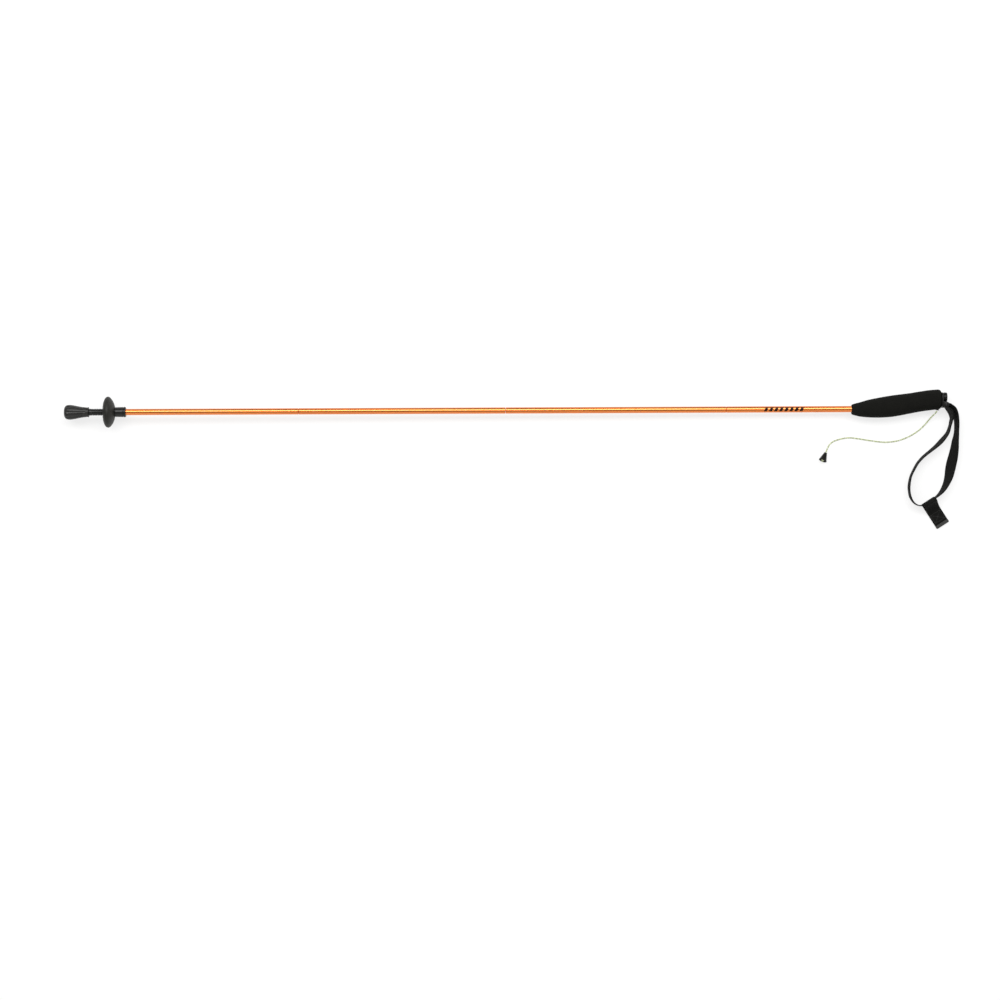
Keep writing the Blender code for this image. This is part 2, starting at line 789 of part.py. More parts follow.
def make_pole():
    clear_scene()
    handle = Body("handle", POLE_FRAME, (0, 0, 0))
    upper_link = Body("upper_link", POLE_FRAME, (UPPER_JOINT_X, 0, 0), handle)
    shaft_3 = Body("shaft_3", POLE_FRAME, (UPPER_JOINT_X, FOLD_OFFSET, 0), upper_link)
    middle_link = Body("middle_link", POLE_FRAME, (MIDDLE_JOINT_X, 0, 0), shaft_3)
    shaft_2 = Body("shaft_2", POLE_FRAME, (MIDDLE_JOINT_X, 0, FOLD_OFFSET), middle_link)
    lower_link = Body("lower_link", POLE_FRAME, (LOWER_JOINT_X, 0, 0), shaft_2)
    shaft_1 = Body("shaft_1", POLE_FRAME, (LOWER_JOINT_X, -FOLD_OFFSET, 0), lower_link)
    trail_basket = Body("trail_basket", POLE_FRAME, (BASKET_X, 0, 0), shaft_1)
    protector = Body("protector", POLE_FRAME, (0, 0, 0), shaft_1)
    floor = Body("floor_side", FLOOR_FRAME, (0, 0, 0), handle)
    strap = Body("wrist_strap", FLOOR_FRAME, (PIN_X, PIN_Y, 0), handle)
    bell = Body("bell", FLOOR_FRAME, BELL_START, floor)

    make_tube(4, UPPER_JOINT_X + SPLIT, TUBE_TOP_X, handle)
    make_section(3, "upper", UPPER_JOINT_X, upper_link, shaft_3, MIDDLE_JOINT_X + SPLIT)
    make_section(2, "middle", MIDDLE_JOINT_X, middle_link, shaft_2, LOWER_JOINT_X + SPLIT)
    make_section(1, "lower", LOWER_JOINT_X, lower_link, shaft_1, TUBE_BOTTOM_X)
    make_inner_cord(4, UPPER_JOINT_X + SPLIT, 1213.5, handle)
    make_inner_cord(3, MIDDLE_JOINT_X + SPLIT, UPPER_JOINT_X - SPLIT, shaft_3)
    make_inner_cord(2, LOWER_JOINT_X + SPLIT, MIDDLE_JOINT_X - SPLIT, shaft_2)
    make_inner_cord(1, 81.8, LOWER_JOINT_X - SPLIT, shaft_1)

    make_cord_anchor(shaft_1)
    make_tip_body(shaft_1)
    make_carbide_tip(shaft_1)
    make_basket(trail_basket)
    make_tip_protector(protector)
    make_protector_washer(protector)

    make_grip_core(handle)
    make_grip_foam(handle)
    make_grip_head(handle)
    make_head_cap(handle)
    make_strap_pin(handle)
    make_ferrule(handle)
    make_inner_cord_grip(handle)

    make_strap_webbing(strap)
    make_strap_tab(strap)
    make_tab_clip(strap)

    make_pull_cord(floor)
    make_cord_knot(floor)
    make_cord_bell(bell)


make_pole()
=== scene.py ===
"""The looks of the folding trekking pole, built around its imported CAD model.

Shapes are drawn in millimetres in the two frames that the CAD uses, and turn into metres where each mesh is
made. The pole frame has +X along the shaft from the tip to the grip, +Y towards the raised side of the grip
and +Z upwards, and leans a little. The floor frame is the same without the lean, with z = 0 on the surface
that the pole lies on.
"""

import json
import math

import bmesh
import bpy
from mathutils import Matrix, Vector, noise


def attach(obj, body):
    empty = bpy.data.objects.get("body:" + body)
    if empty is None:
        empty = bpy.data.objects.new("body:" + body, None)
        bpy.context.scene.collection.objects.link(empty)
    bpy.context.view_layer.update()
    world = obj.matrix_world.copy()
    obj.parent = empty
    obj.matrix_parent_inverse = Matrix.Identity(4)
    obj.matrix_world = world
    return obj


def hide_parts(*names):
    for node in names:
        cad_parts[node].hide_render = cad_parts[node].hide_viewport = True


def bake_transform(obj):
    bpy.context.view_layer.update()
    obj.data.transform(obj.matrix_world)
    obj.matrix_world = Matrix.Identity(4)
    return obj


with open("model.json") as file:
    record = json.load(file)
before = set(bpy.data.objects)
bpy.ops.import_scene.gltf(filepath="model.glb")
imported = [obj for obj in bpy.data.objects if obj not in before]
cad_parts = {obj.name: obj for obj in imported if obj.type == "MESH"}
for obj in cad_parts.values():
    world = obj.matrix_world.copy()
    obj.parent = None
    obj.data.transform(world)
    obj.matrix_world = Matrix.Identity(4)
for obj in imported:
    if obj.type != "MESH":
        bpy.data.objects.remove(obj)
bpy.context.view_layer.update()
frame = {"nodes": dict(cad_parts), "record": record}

MM = 0.001
MOUNTS = {mount["name"]: mount for mount in frame["record"]["mounts"]}
TIP = Vector(MOUNTS["ground_contact"]["pos_m"])
LEAN = math.asin(Vector(MOUNTS["ground_contact"]["axis"]).normalized().z)
POLE = Matrix.Translation(TIP) @ Matrix.Rotation(LEAN, 4, "Y")
FLOOR = Matrix.Translation((TIP.x, TIP.y, 0))
AXIS_HEIGHT = TIP.z / MM
AXIS_Y = TIP.y  # the shaft's axis across the pole, in metres

# Shaft
TUBE_R = 4.75
BORE_R = 4.05
SPIGOT_R = 3.75
SPIGOT_BORE_R = 2.4
SPIGOT_HALF = 47.0
SPLIT = 0.15
JOINTS_X = {"lower": 344.0, "middle": 648.5, "upper": 973.5}
TUBE_BOTTOM_X = 76.0
TUBE_TOP_X = 1215.5
CORD_R = 1.0

# Tip
STEM_R = 5.05
BASKET_BORE_R = STEM_R + 0.3
COLLAR_X = 74.5
COLLAR_END_X = 90.5
BASKET_X = 57.2
BASKET_RIM_X = 64.5
PROTECTOR_L = 36.0

# Grip
GRIP_END_X = 1290.0
CORE_X = 1196.2
CORE_R = 8.3
CORE_END_Y = 13.1
HEAD_PLATE_X = 1290.3
HEAD_PLATE_T = 2.4
CAP_Y = 17.0
CAP_END_X = 1299.2
PIN_X = 1296.6
PIN_Y = 6.0
PIN_R = 1.5

# Strap
STRAP_W = 20.0
STRAP_T = 1.6
TAB_W = 21.0
TAB_L = 34.0
CLIP_L = 5.0
LEAN_SCALE = 0.05  # the lean of the band rides on the route as a third coordinate, in mm per degree

STRAP_OUTER = (
    (1300.9, 5.8, 12),
    (1304.5, 3.1, 15),
    (1308.1, -0.1, 17),
    (1310.4, -4.0, 16),
    (1312.2, -9.3, 14),
    (1313.2, -14.4, 12),
    (1313.8, -20.0, 11),
    (1314.0, -26.5, 10),
    (1313.8, -33.0, 10),
    (1313.3, -40.0, 13),
    (1312.2, -47.0, 19),
    (1310.7, -60.0, 28),
    (1308.2, -73.3, 37),
    (1306.5, -80.0, 39),
    (1304.4, -90.0, 37),
    (1302.3, -100.0, 29),
    (1298.7, -110.0, 19),
    (1293.2, -120.0, 11),
    (1287.5, -126.6, 4),
    (1281.6, -131.4, 0),
    (1272.4, -137.0, 0),
)
STRAP_INNER = (
    (1263.9, -142.2, 0),
    (1256.0, -141.9, 2),
    (1249.6, -137.4, 3),
    (1245.4, -130.0, 1),
    (1243.7, -122.2, 1),
    (1243.4, -114.0, 0),
    (1245.9, -100.0, 1),
    (1250.5, -90.0, 0),
    (1256.2, -80.0, -1),
    (1264.1, -71.1, -3),
    (1274.7, -62.4, -5),
    (1283.4, -55.3, -8),
    (1291.5, -47.3, -11),
    (1300.6, -35.3, -5),
    (1303.8, -25.0, -1),
    (1304.9, -20.0, -3),
    (1306.1, -14.4, -5),
    (1305.6, -9.2, -9),
    (1304.1, -4.4, -13),
    (1300.5, 0.0, -9),
    (1297.7, 2.7, -4),
)

# Tension cord, from the ferrule to the bell
CORD_ROUTE = (
    (1284.3, -3.4, 14.2),
    (1282.2, -6.6, 13.2),
    (1277.8, -11.2, 9.4),
    (1273.4, -16.8, 4.8),
    (1268.4, -23.0, 1.8),
    (1258.2, -32.4, 1.2),
    (1244.6, -40.6, 1.2),
    (1231.0, -45.9, 1.2),
    (1220.6, -48.0, 1.2),
    (1208.5, -48.7, 1.2),
    (1196.6, -47.6, 1.2),
    (1183.1, -45.6, 1.2),
    (1171.0, -43.6, 1.2),
    (1157.5, -42.0, 1.2),
    (1149.3, -42.6, 1.2),
    (1139.4, -44.9, 1.2),
    (1132.6, -47.6, 1.2),
    (1127.6, -51.8, 1.2),
)
BELL_START = Vector((1121.4, -64.2, 3.3))
BELL_AIM = Vector((-0.38, -0.89, 0.25)).normalized()
BELL_L = 13.0
BELL_MOUTH_R = 6.0
KNOT_DEPTH = 1.3  # the middle of the knot, below the rim of the bell

# The printed mark: plain slanted bars along the upper side of the top tube
MARK_X = 1030.0
MARK_L = 60.0
MARK_HALF_W = 2.9
MARK_PITCH = 7.5


# ---------------------------------------------------------------- camera, light and floor


def make_camera():
    """Straight above, turned clockwise by a quarter of a degree."""
    data = bpy.data.cameras.new("camera")
    data.lens = 100.0
    data.sensor_width = 36.0
    data.clip_end = 100.0
    camera = bpy.data.objects.new("camera", data)
    camera.location = FLOOR @ (Vector((639.9, -131.7, 4107.9)) * MM)
    camera.rotation_euler = (0, 0, math.radians(-0.248))
    bpy.context.scene.collection.objects.link(camera)
    bpy.context.scene.camera = camera


def soft_box(name, angle, distance, size, radiance):
    """A long box of light beside the pole, at an angle from straight up towards +Y."""
    data = bpy.data.lights.new(name, "AREA")
    data.shape = "RECTANGLE"
    data.size, data.size_y = size
    data.energy = radiance * math.pi * size[0] * size[1]
    lamp = bpy.data.objects.new(name, data)
    tilt = math.radians(angle)
    lamp.location = (0, AXIS_Y + distance * math.sin(tilt), distance * math.cos(tilt))
    lamp.rotation_euler = (-tilt, 0, 0)
    lamp.visible_camera = False
    bpy.context.scene.collection.objects.link(lamp)


def make_studio():
    """A light table: the floor glows a little, so that shadows on it stay faint."""
    scene = bpy.context.scene
    scene.view_settings.view_transform = "Standard"
    world = bpy.data.worlds.new("studio")
    world.use_nodes = True
    world.node_tree.nodes["Background"].inputs["Color"].default_value = (1.0, 0.99, 0.97, 1.0)
    world.node_tree.nodes["Background"].inputs["Strength"].default_value = 0.36
    scene.world = world
    soft_box("key", 26, 2.6, (5.0, 1.3), 4.9)
    soft_box("fill", -60, 2.6, (5.0, 1.6), 0.8)
    bm = bmesh.new()
    bmesh.ops.create_grid(bm, x_segments=1, y_segments=1, size=9.0)
    mesh = bpy.data.meshes.new("floor")
    bm.to_mesh(mesh)
    bm.free()
    mesh.materials.append(light_table())
    floor = bpy.data.objects.new("floor", mesh)
    floor.location.z = -0.0003
    scene.collection.objects.link(floor)


# ---------------------------------------------------------------- materials


class Finish:
    """A material under construction: its nodes, its shader and short ways to add to them."""

    def __init__(self, name, colour, roughness, metallic=0.0):
        self.mat = bpy.data.materials.new(name)
        self.mat.use_nodes = True
        self.tree = self.mat.node_tree
        self.shader = self.tree.nodes["Principled BSDF"]
        self.set("Base Color", (*colour, 1.0))
        self.set("Roughness", roughness)
        self.set("Metallic", metallic)

    def set(self, socket, value):
        self.shader.inputs[socket].default_value = value

    def node(self, kind, **settings):
        made = self.tree.nodes.new(kind)
        for key, value in settings.items():
            setattr(made, key, value)
        return made

    def link(self, source, target):
        self.tree.links.new(source, target)

    def math(self, operation, a, b=None):
        made = self.node("ShaderNodeMath", operation=operation)
        for slot, value in zip(made.inputs, (a, b)):
            if value is None:
                continue
            if isinstance(value, (int, float)):
                slot.default_value = value
            else:
                self.link(value, slot)
        return made.outputs[0]

    def place(self, scale=(1, 1, 1), uv=None):
        """Object coordinates, or those of a UV map, stretched by scale."""
        if uv:
            source = self.node("ShaderNodeUVMap", uv_map=uv).outputs["UV"]
        else:
            source = self.node("ShaderNodeTexCoord").outputs["Object"]
        mapping = self.node("ShaderNodeMapping")
        mapping.inputs["Scale"].default_value = scale
        self.link(source, mapping.inputs["Vector"])
        return mapping.outputs["Vector"]

    def noise(self, vector, scale, detail=3.0, roughness=0.55):
        made = self.node("ShaderNodeTexNoise")
        made.inputs["Scale"].default_value = scale
        made.inputs["Detail"].default_value = detail
        made.inputs["Roughness"].default_value = roughness
        self.link(vector, made.inputs["Vector"])
        return made.outputs["Fac"]

    def cells(self, vector, scale, feature="F1"):
        made = self.node("ShaderNodeTexVoronoi", feature=feature)
        made.inputs["Scale"].default_value = scale
        self.link(vector, made.inputs["Vector"])
        return made.outputs["Distance"]

    def span(self, value, low, high):
        """Takes a value from 0 to 1 into low to high."""
        made = self.node("ShaderNodeMapRange")
        made.inputs["To Min"].default_value = low
        made.inputs["To Max"].default_value = high
        self.link(value, made.inputs["Value"])
        return made.outputs["Result"]

    def step(self, value, low, high):
        """0 below low, 1 above high and a straight ramp between."""
        made = self.node("ShaderNodeMapRange")
        made.inputs["From Min"].default_value = low
        made.inputs["From Max"].default_value = high
        self.link(value, made.inputs["Value"])
        return made.outputs["Result"]

    def mix(self, factor, a, b):
        made = self.node("ShaderNodeMix", data_type="RGBA")
        self.link(factor, made.inputs["Factor"])
        for slot, value in ((made.inputs["A"], a), (made.inputs["B"], b)):
            if isinstance(value, tuple):
                slot.default_value = (*value, 1.0)
            else:
                self.link(value, slot)
        return made.outputs["Result"]

    def colour(self, source):
        self.link(source, self.shader.inputs["Base Color"])

    def roughness(self, value, low, high):
        self.link(self.span(value, low, high), self.shader.inputs["Roughness"])

    def bump(self, height, distance, strength=1.0):
        """Adds a bump of a real height, in millimetres, on top of what is there."""
        made = self.node("ShaderNodeBump")
        made.inputs["Strength"].default_value = strength
        made.inputs["Distance"].default_value = distance * MM
        self.link(height, made.inputs["Height"])
        normal = self.shader.inputs["Normal"]
        if normal.links:
            self.link(normal.links[0].from_socket, made.inputs["Normal"])
        self.link(made.outputs["Normal"], normal)


def light_table():
    finish = Finish("light_table", (0.26, 0.26, 0.26), 0.9)
    finish.set("Emission Color", (1.0, 1.0, 1.0, 1.0))
    finish.set("Emission Strength", 0.73)
    grain = finish.noise(finish.place(), 900.0)
    finish.bump(grain, 0.02)
    return finish.mat


def anodised(marked=False):
    """Drawn and anodised tube: tinted metal under a thin clear layer, with faint lines along the shaft."""
    finish = Finish("anodised_marked" if marked else "anodised", (0.8, 0.2, 0.015), 0.22, 1.0)
    finish.set("Coat Weight", 1.0)
    finish.set("Coat Roughness", 0.1)
    finish.set("Coat IOR", 1.6)
    lines = finish.noise(finish.place((14, 2600, 2600)), 1.0, 4.0)
    cloud = finish.noise(finish.place((6, 90, 90)), 1.0, 3.0)
    tint = finish.mix(cloud, (0.75, 0.175, 0.012), (0.82, 0.225, 0.02))
    finish.bump(lines, 0.0015)
    finish.roughness(lines, 0.18, 0.27)
    if not marked:
        finish.colour(tint)
        return finish.mat
    mask = bars_mask(finish)
    clear = finish.span(mask, 1.0, 0.0)
    finish.colour(finish.mix(mask, tint, (0.008, 0.005, 0.004)))
    finish.link(clear, finish.shader.inputs["Metallic"])
    finish.link(clear, finish.shader.inputs["Coat Weight"])
    finish.link(finish.span(mask, 0.5, 0.12), finish.shader.inputs["Specular IOR Level"])
    return finish.mat


def bars_mask(finish):
    """1 inside the plain slanted bars printed on the upper side of the tube, and 0 elsewhere."""
    place = finish.node("ShaderNodeSeparateXYZ")
    finish.link(finish.node("ShaderNodeTexCoord").outputs["Object"], place.inputs[0])
    x, y, z = place.outputs
    start = (POLE @ Vector((MARK_X * MM, 0, 0))).x
    along = finish.math("MULTIPLY", finish.math("SUBTRACT", x, start), 1 / MM)
    across = finish.math("MULTIPLY", finish.math("SUBTRACT", y, AXIS_Y), 1 / MM)
    slanted = finish.math("SUBTRACT", along, finish.math("MULTIPLY", across, 0.45))
    from_middle = finish.math("ABSOLUTE", finish.math("SUBTRACT", slanted, MARK_L / 2))
    in_length = finish.math("LESS_THAN", from_middle, MARK_L / 2)
    in_height = finish.math("LESS_THAN", finish.math("ABSOLUTE", across), MARK_HALF_W)
    phase = finish.math("FRACT", finish.math("DIVIDE", slanted, MARK_PITCH))
    bars = finish.math("LESS_THAN", phase, 0.6)
    above = finish.math("GREATER_THAN", z, (POLE @ Vector((MARK_X * MM, 0, 0))).z)
    mask = finish.math("MULTIPLY", in_height, in_length)
    return finish.math("MULTIPLY", finish.math("MULTIPLY", mask, bars), above)


def bare_aluminium():
    finish = Finish("bare_aluminium", (0.66, 0.67, 0.69), 0.3, 1.0)
    lines = finish.noise(finish.place((20, 2400, 2400)), 1.0, 4.0)
    finish.bump(lines, 0.008)
    finish.roughness(lines, 0.26, 0.4)
    finish.colour(finish.mix(lines, (0.6, 0.61, 0.63), (0.72, 0.73, 0.74)))
    return finish.mat


def steel():
    finish = Finish("steel", (0.52, 0.52, 0.53), 0.3, 1.0)
    grain = finish.noise(finish.place(), 1400.0, 4.0)
    finish.bump(grain, 0.01)
    finish.roughness(grain, 0.24, 0.42)
    finish.colour(finish.mix(grain, (0.46, 0.46, 0.47), (0.58, 0.58, 0.58)))
    return finish.mat


def blackened_steel():
    finish = Finish("blackened_steel", (0.03, 0.03, 0.032), 0.35, 1.0)
    grain = finish.noise(finish.place(), 1400.0, 4.0)
    finish.bump(grain, 0.01)
    finish.roughness(grain, 0.3, 0.45)
    finish.colour(finish.mix(grain, (0.022, 0.022, 0.024), (0.05, 0.05, 0.052)))
    return finish.mat


def carbide():
    finish = Finish("carbide", (0.2, 0.2, 0.21), 0.45, 1.0)
    grain = finish.noise(finish.place(), 2600.0, 5.0)
    finish.bump(grain, 0.02)
    finish.roughness(grain, 0.35, 0.6)
    finish.colour(finish.mix(grain, (0.15, 0.15, 0.16), (0.27, 0.27, 0.27)))
    return finish.mat


def moulded(name, dark, light, rough=(0.38, 0.52), grain_mm=0.012, specular=0.32):
    """Moulded plastic: a fine spark-eroded grain, with a slow change of shade and gloss."""
    finish = Finish(name, light, rough[0])
    finish.set("Specular IOR Level", specular)
    grain = finish.noise(finish.place(), 2300.0, 4.0)
    cloud = finish.noise(finish.place(), 120.0, 3.0)
    finish.colour(finish.mix(cloud, dark, light))
    finish.bump(grain, grain_mm)
    finish.roughness(cloud, *rough)
    return finish.mat


def rubber():
    """Moulded rubber: matt, with a fine grain and a little dust in its pits."""
    finish = Finish("protector_rubber", (0.02, 0.02, 0.018), 0.45)
    finish.set("Specular IOR Level", 0.4)
    grain = finish.noise(finish.place(), 1500.0, 5.0, 0.65)
    cloud = finish.noise(finish.place(), 160.0, 4.0)
    dust = finish.step(cloud, 0.55, 0.75)
    base = finish.mix(grain, (0.005, 0.005, 0.0042), (0.012, 0.012, 0.0104))
    finish.colour(finish.mix(finish.math("MULTIPLY", dust, 0.35), base, (0.026, 0.025, 0.021)))
    finish.bump(grain, 0.035)
    finish.roughness(grain, 0.3, 0.44)
    return finish.mat


def eva_foam():
    """Cut and ground foam: open cells under a millimetre across and a soft sheen."""
    finish = Finish("grip_foam", (0.012, 0.012, 0.013), 0.9)
    finish.set("Specular IOR Level", 0.12)
    where = finish.place()
    cells = finish.cells(where, 1500.0)
    large = finish.cells(where, 620.0)
    cloud = finish.noise(where, 70.0, 4.0)
    pits = finish.step(cells, 0.1, 0.55)
    finish.bump(finish.noise(where, 260.0, 4.0), 0.12)
    finish.bump(finish.step(large, 0.05, 0.5), 0.1)
    finish.bump(pits, 0.07)
    # Painted shade: the pits of the open cells are coloured darker than the foam round them. The cloud
    # below is the foam's own uneven tone.
    shade = finish.mix(pits, (0.002, 0.002, 0.0016), (0.0065, 0.0065, 0.0052))
    finish.colour(finish.mix(finish.step(cloud, 0.3, 0.8), shade, (0.004, 0.004, 0.0033)))
    finish.roughness(pits, 0.97, 0.86)
    return finish.mat


def webbing(name="webbing", dark=(0.0016, 0.0016, 0.0013), light=(0.0066, 0.0066, 0.0056)):
    """Woven strap: ribs across it every 1.1 mm, crossed by warp threads 0.7 mm apart."""
    finish = Finish(name, light, 0.8)
    finish.set("Specular IOR Level", 0.15)
    place = finish.node("ShaderNodeSeparateXYZ")
    finish.link(finish.node("ShaderNodeUVMap", uv_map="thread").outputs["UV"], place.inputs[0])
    along, across = place.outputs[0], place.outputs[1]
    row = finish.math("FLOOR", finish.math("DIVIDE", across, 0.7))
    shift = finish.math("MULTIPLY", finish.math("MODULO", row, 2.0), math.pi)
    ribs = finish.math("SINE", finish.math("ADD", finish.math("MULTIPLY", along, 2 * math.pi / 1.1), shift))
    warp = finish.math("ABSOLUTE", finish.math("SINE", finish.math("MULTIPLY", across, math.pi / 0.7)))
    rise = finish.math("ADD", finish.math("MULTIPLY", ribs, 0.5), 0.5)
    height = finish.math("MULTIPLY", finish.span(rise, 0.35, 1.0), warp)
    fuzz = finish.noise(finish.place(), 2600.0, 3.0)
    cloud = finish.noise(finish.place(), 55.0, 3.0)
    # Painted shade: the weave is coloured darker where it lies low and lighter on its raised ribs. The
    # cloud below is the strap's own uneven tone.
    shade = finish.mix(height, dark, light)
    finish.colour(finish.mix(finish.math("MULTIPLY", cloud, 0.35), shade, (0.008, 0.008, 0.007)))
    finish.bump(height, 0.16)
    finish.bump(fuzz, 0.03)
    finish.roughness(height, 0.92, 0.72)
    return finish.mat


def thread():
    finish = Finish("sewing_thread", (0.03, 0.03, 0.032), 0.6)
    twist = finish.noise(finish.place(), 3800.0, 2.0)
    finish.colour(finish.mix(twist, (0.008, 0.008, 0.008), (0.026, 0.026, 0.025)))
    finish.bump(twist, 0.03)
    finish.roughness(twist, 0.5, 0.7)
    return finish.mat


def braided_yarn():
    """Braided cord: pale yellow-green strands, with grey-green and white flecks along it."""
    finish = Finish("cord_yarn", (0.62, 0.72, 0.26), 0.75)
    place = finish.node("ShaderNodeSeparateXYZ")
    finish.link(finish.node("ShaderNodeUVMap", uv_map="thread").outputs["UV"], place.inputs[0])
    along, around = place.outputs[0], place.outputs[1]
    lead = finish.math("MULTIPLY", around, 4.0)
    one_way = finish.math("ADD", finish.math("MULTIPLY", along, 0.9), lead)
    other_way = finish.math("SUBTRACT", finish.math("MULTIPLY", along, 0.9), lead)
    a = finish.math("ABSOLUTE", finish.math("SINE", finish.math("MULTIPLY", one_way, math.pi)))
    b = finish.math("ABSOLUTE", finish.math("SINE", finish.math("MULTIPLY", other_way, math.pi)))
    braid = finish.math("MAXIMUM", a, b)
    slant = finish.math("MULTIPLY", finish.math("SUBTRACT", a, b), 0.12)
    runs = finish.node("ShaderNodeCombineXYZ")
    finish.link(along, runs.inputs[0])
    fleck = finish.step(finish.math("ADD", finish.noise(runs.outputs[0], 0.42, 1.5), slant), 0.46, 0.58)
    pale = finish.step(finish.math("SUBTRACT", finish.noise(runs.outputs[0], 0.31, 1.0), slant), 0.6, 0.7)
    # Painted shade: the grooves between the strands are coloured darker than the strands' crowns. The
    # grey-green flecks and pale runs below are the yarn's own colours.
    yarn = finish.mix(braid, (0.31, 0.35, 0.16), (0.58, 0.65, 0.35))
    yarn = finish.mix(finish.math("MULTIPLY", fleck, 0.85), yarn, (0.22, 0.24, 0.18))
    finish.colour(finish.mix(pale, yarn, (0.88, 0.9, 0.78)))
    finish.bump(braid, 0.12)
    finish.bump(finish.noise(finish.place(), 5200.0, 2.0), 0.03)
    finish.roughness(braid, 0.85, 0.65)
    return finish.mat


# ---------------------------------------------------------------- shapes


def skin(rings, closed, along=None, around=None):
    """A body through rings of points, with a UV map of lengths in millimetres where they are given."""
    bm = bmesh.new()
    made = [[bm.verts.new(p) for p in ring] for ring in rings]
    layer = bm.loops.layers.uv.new("thread") if along else None
    pairs = [(k, (k + 1) % len(made)) for k in range(len(made) if closed else len(made) - 1)]
    for k, after in pairs:
        a, b = made[k], made[after]
        count = max(len(a), len(b))
        for n in range(count):
            corners = [a[n % len(a)], a[(n + 1) % len(a)], b[(n + 1) % len(b)], b[n % len(b)]]
            face = bm.faces.new(list(dict.fromkeys(corners)))
            if layer:
                marks = {}
                for vert, u, v in zip(corners, (k, k, k + 1, k + 1), (n, n + 1, n + 1, n)):
                    marks[vert] = (along[u], around[v])
                for loop in face.loops:
                    loop[layer].uv = marks[loop.vert]
    if not closed:
        for end in (made[0], made[-1]):
            if len(end) > 2:
                bm.faces.new(end)
    return bm


def rounded(points, radii, steps=5):
    """The polyline with the corners that have a radius turned into curves; the ends stay."""
    out = []
    last = len(points) - 1
    for k, (point, radius) in enumerate(zip(points, radii)):
        if radius == 0 or k in (0, last):
            out.append(point)
            continue
        here = Vector(point)
        before = (Vector(points[k - 1]) - here).normalized() * radius
        after = (Vector(points[k + 1]) - here).normalized() * radius
        for n in range(steps + 1):
            t = n / steps
            out.append(tuple(here + before * (1 - t) ** 2 + after * t**2))
    return out


def turned(profile, sides=64, closed=False, centre=(0, 0), shape=None):
    """A body turned about a line along X; shape may move a point of the profile at an angle."""
    rings = []
    for x, radius in profile:
        if radius == 0:
            rings.append([(x, *centre)])
            continue
        ring = []
        for k in range(sides):
            angle = 2 * math.pi * k / sides
            at, r = shape(x, radius, angle) if shape else (x, radius)
            ring.append((at, centre[0] + r * math.cos(angle), centre[1] + r * math.sin(angle)))
        rings.append(ring)
    return skin(rings, closed)


def oval(x, centre_y, half_y, half_z, sides=72, power=2.0):
    ring = []
    for k in range(sides):
        angle = 2 * math.pi * k / sides
        c = math.cos(angle)
        s = math.sin(angle)
        y = math.copysign(abs(c) ** (2 / power), c)
        z = math.copysign(abs(s) ** (2 / power), s)
        ring.append((x, centre_y + half_y * y, half_z * z))
    return ring


def rod_between(start, end, radius, sides=32):
    start = Vector(start)
    aim = Vector(end) - start
    turn = aim.to_track_quat("X", "Z").to_matrix()
    rings = []
    for along in (0, aim.length):
        ring = []
        for k in range(sides):
            angle = 2 * math.pi * k / sides
            spoke = Vector((along, radius * math.cos(angle), radius * math.sin(angle)))
            ring.append(start + turn @ spoke)
        rings.append(ring)
    return skin(rings, False)


def aimed(bm, start, aim):
    turn = aim.to_track_quat("X", "Z").to_matrix().to_4x4()
    bmesh.ops.transform(bm, matrix=Matrix.Translation(start) @ turn, verts=bm.verts)
    return bm


def joined(*parts):
    """One bmesh that holds several separate closed bodies."""
    whole = bmesh.new()
    for part in parts:
        mesh = bpy.data.meshes.new("joining")
        part.to_mesh(mesh)
        part.free()
        whole.from_mesh(mesh)
        bpy.data.meshes.remove(mesh)
    return whole


def smooth_route(points, spacing, cyclic=False):
    """Points at an even spacing along a smooth curve through the given ones."""
    points = [Vector(p) for p in points]
    count = len(points)
    spans = count if cyclic else count - 1
    fine = []
    for k in range(spans):
        p1 = points[k]
        p2 = points[(k + 1) % count]
        p0 = points[(k - 1) % count] if cyclic or k > 0 else p1 * 2 - p2
        p3 = points[(k + 2) % count] if cyclic or k + 2 < count else p2 * 2 - p1
        d0 = max((p1 - p0).length, 1e-6) ** 0.5
        d1 = max((p2 - p1).length, 1e-6) ** 0.5
        d2 = max((p3 - p2).length, 1e-6) ** 0.5
        m1 = (p2 - p1) + d1 * ((p1 - p0) / d0 - (p2 - p0) / (d0 + d1))
        m2 = (p2 - p1) + d1 * ((p3 - p2) / d2 - (p3 - p1) / (d1 + d2))
        for n in range(24):
            t = n / 24
            h1 = (1 + 2 * t) * (1 - t) ** 2
            h2 = t * (1 - t) ** 2
            h3 = t * t * (3 - 2 * t)
            h4 = t * t * (t - 1)
            fine.append(p1 * h1 + m1 * h2 + p2 * h3 + m2 * h4)
    fine.append(points[0].copy() if cyclic else points[-1].copy())
    lengths = [0.0]
    for a, b in zip(fine, fine[1:]):
        lengths.append(lengths[-1] + (b - a).length)
    steps = max(2, round(lengths[-1] / spacing))
    out = []
    k = 0
    for n in range(steps + (0 if cyclic else 1)):
        want = lengths[-1] * n / steps
        while k < len(fine) - 2 and lengths[k + 1] < want:
            k += 1
        t = (want - lengths[k]) / max(lengths[k + 1] - lengths[k], 1e-9)
        out.append(fine[k].lerp(fine[k + 1], t))
    return out


def run_lengths(points, closed=False):
    """How far along the route each point is, and where a closed route comes back to its start."""
    out = [0.0]
    for a, b in zip(points, points[1:]):
        out.append(out[-1] + (b - a).length)
    if closed:
        out.append(out[-1] + (points[0] - points[-1]).length)
    return out


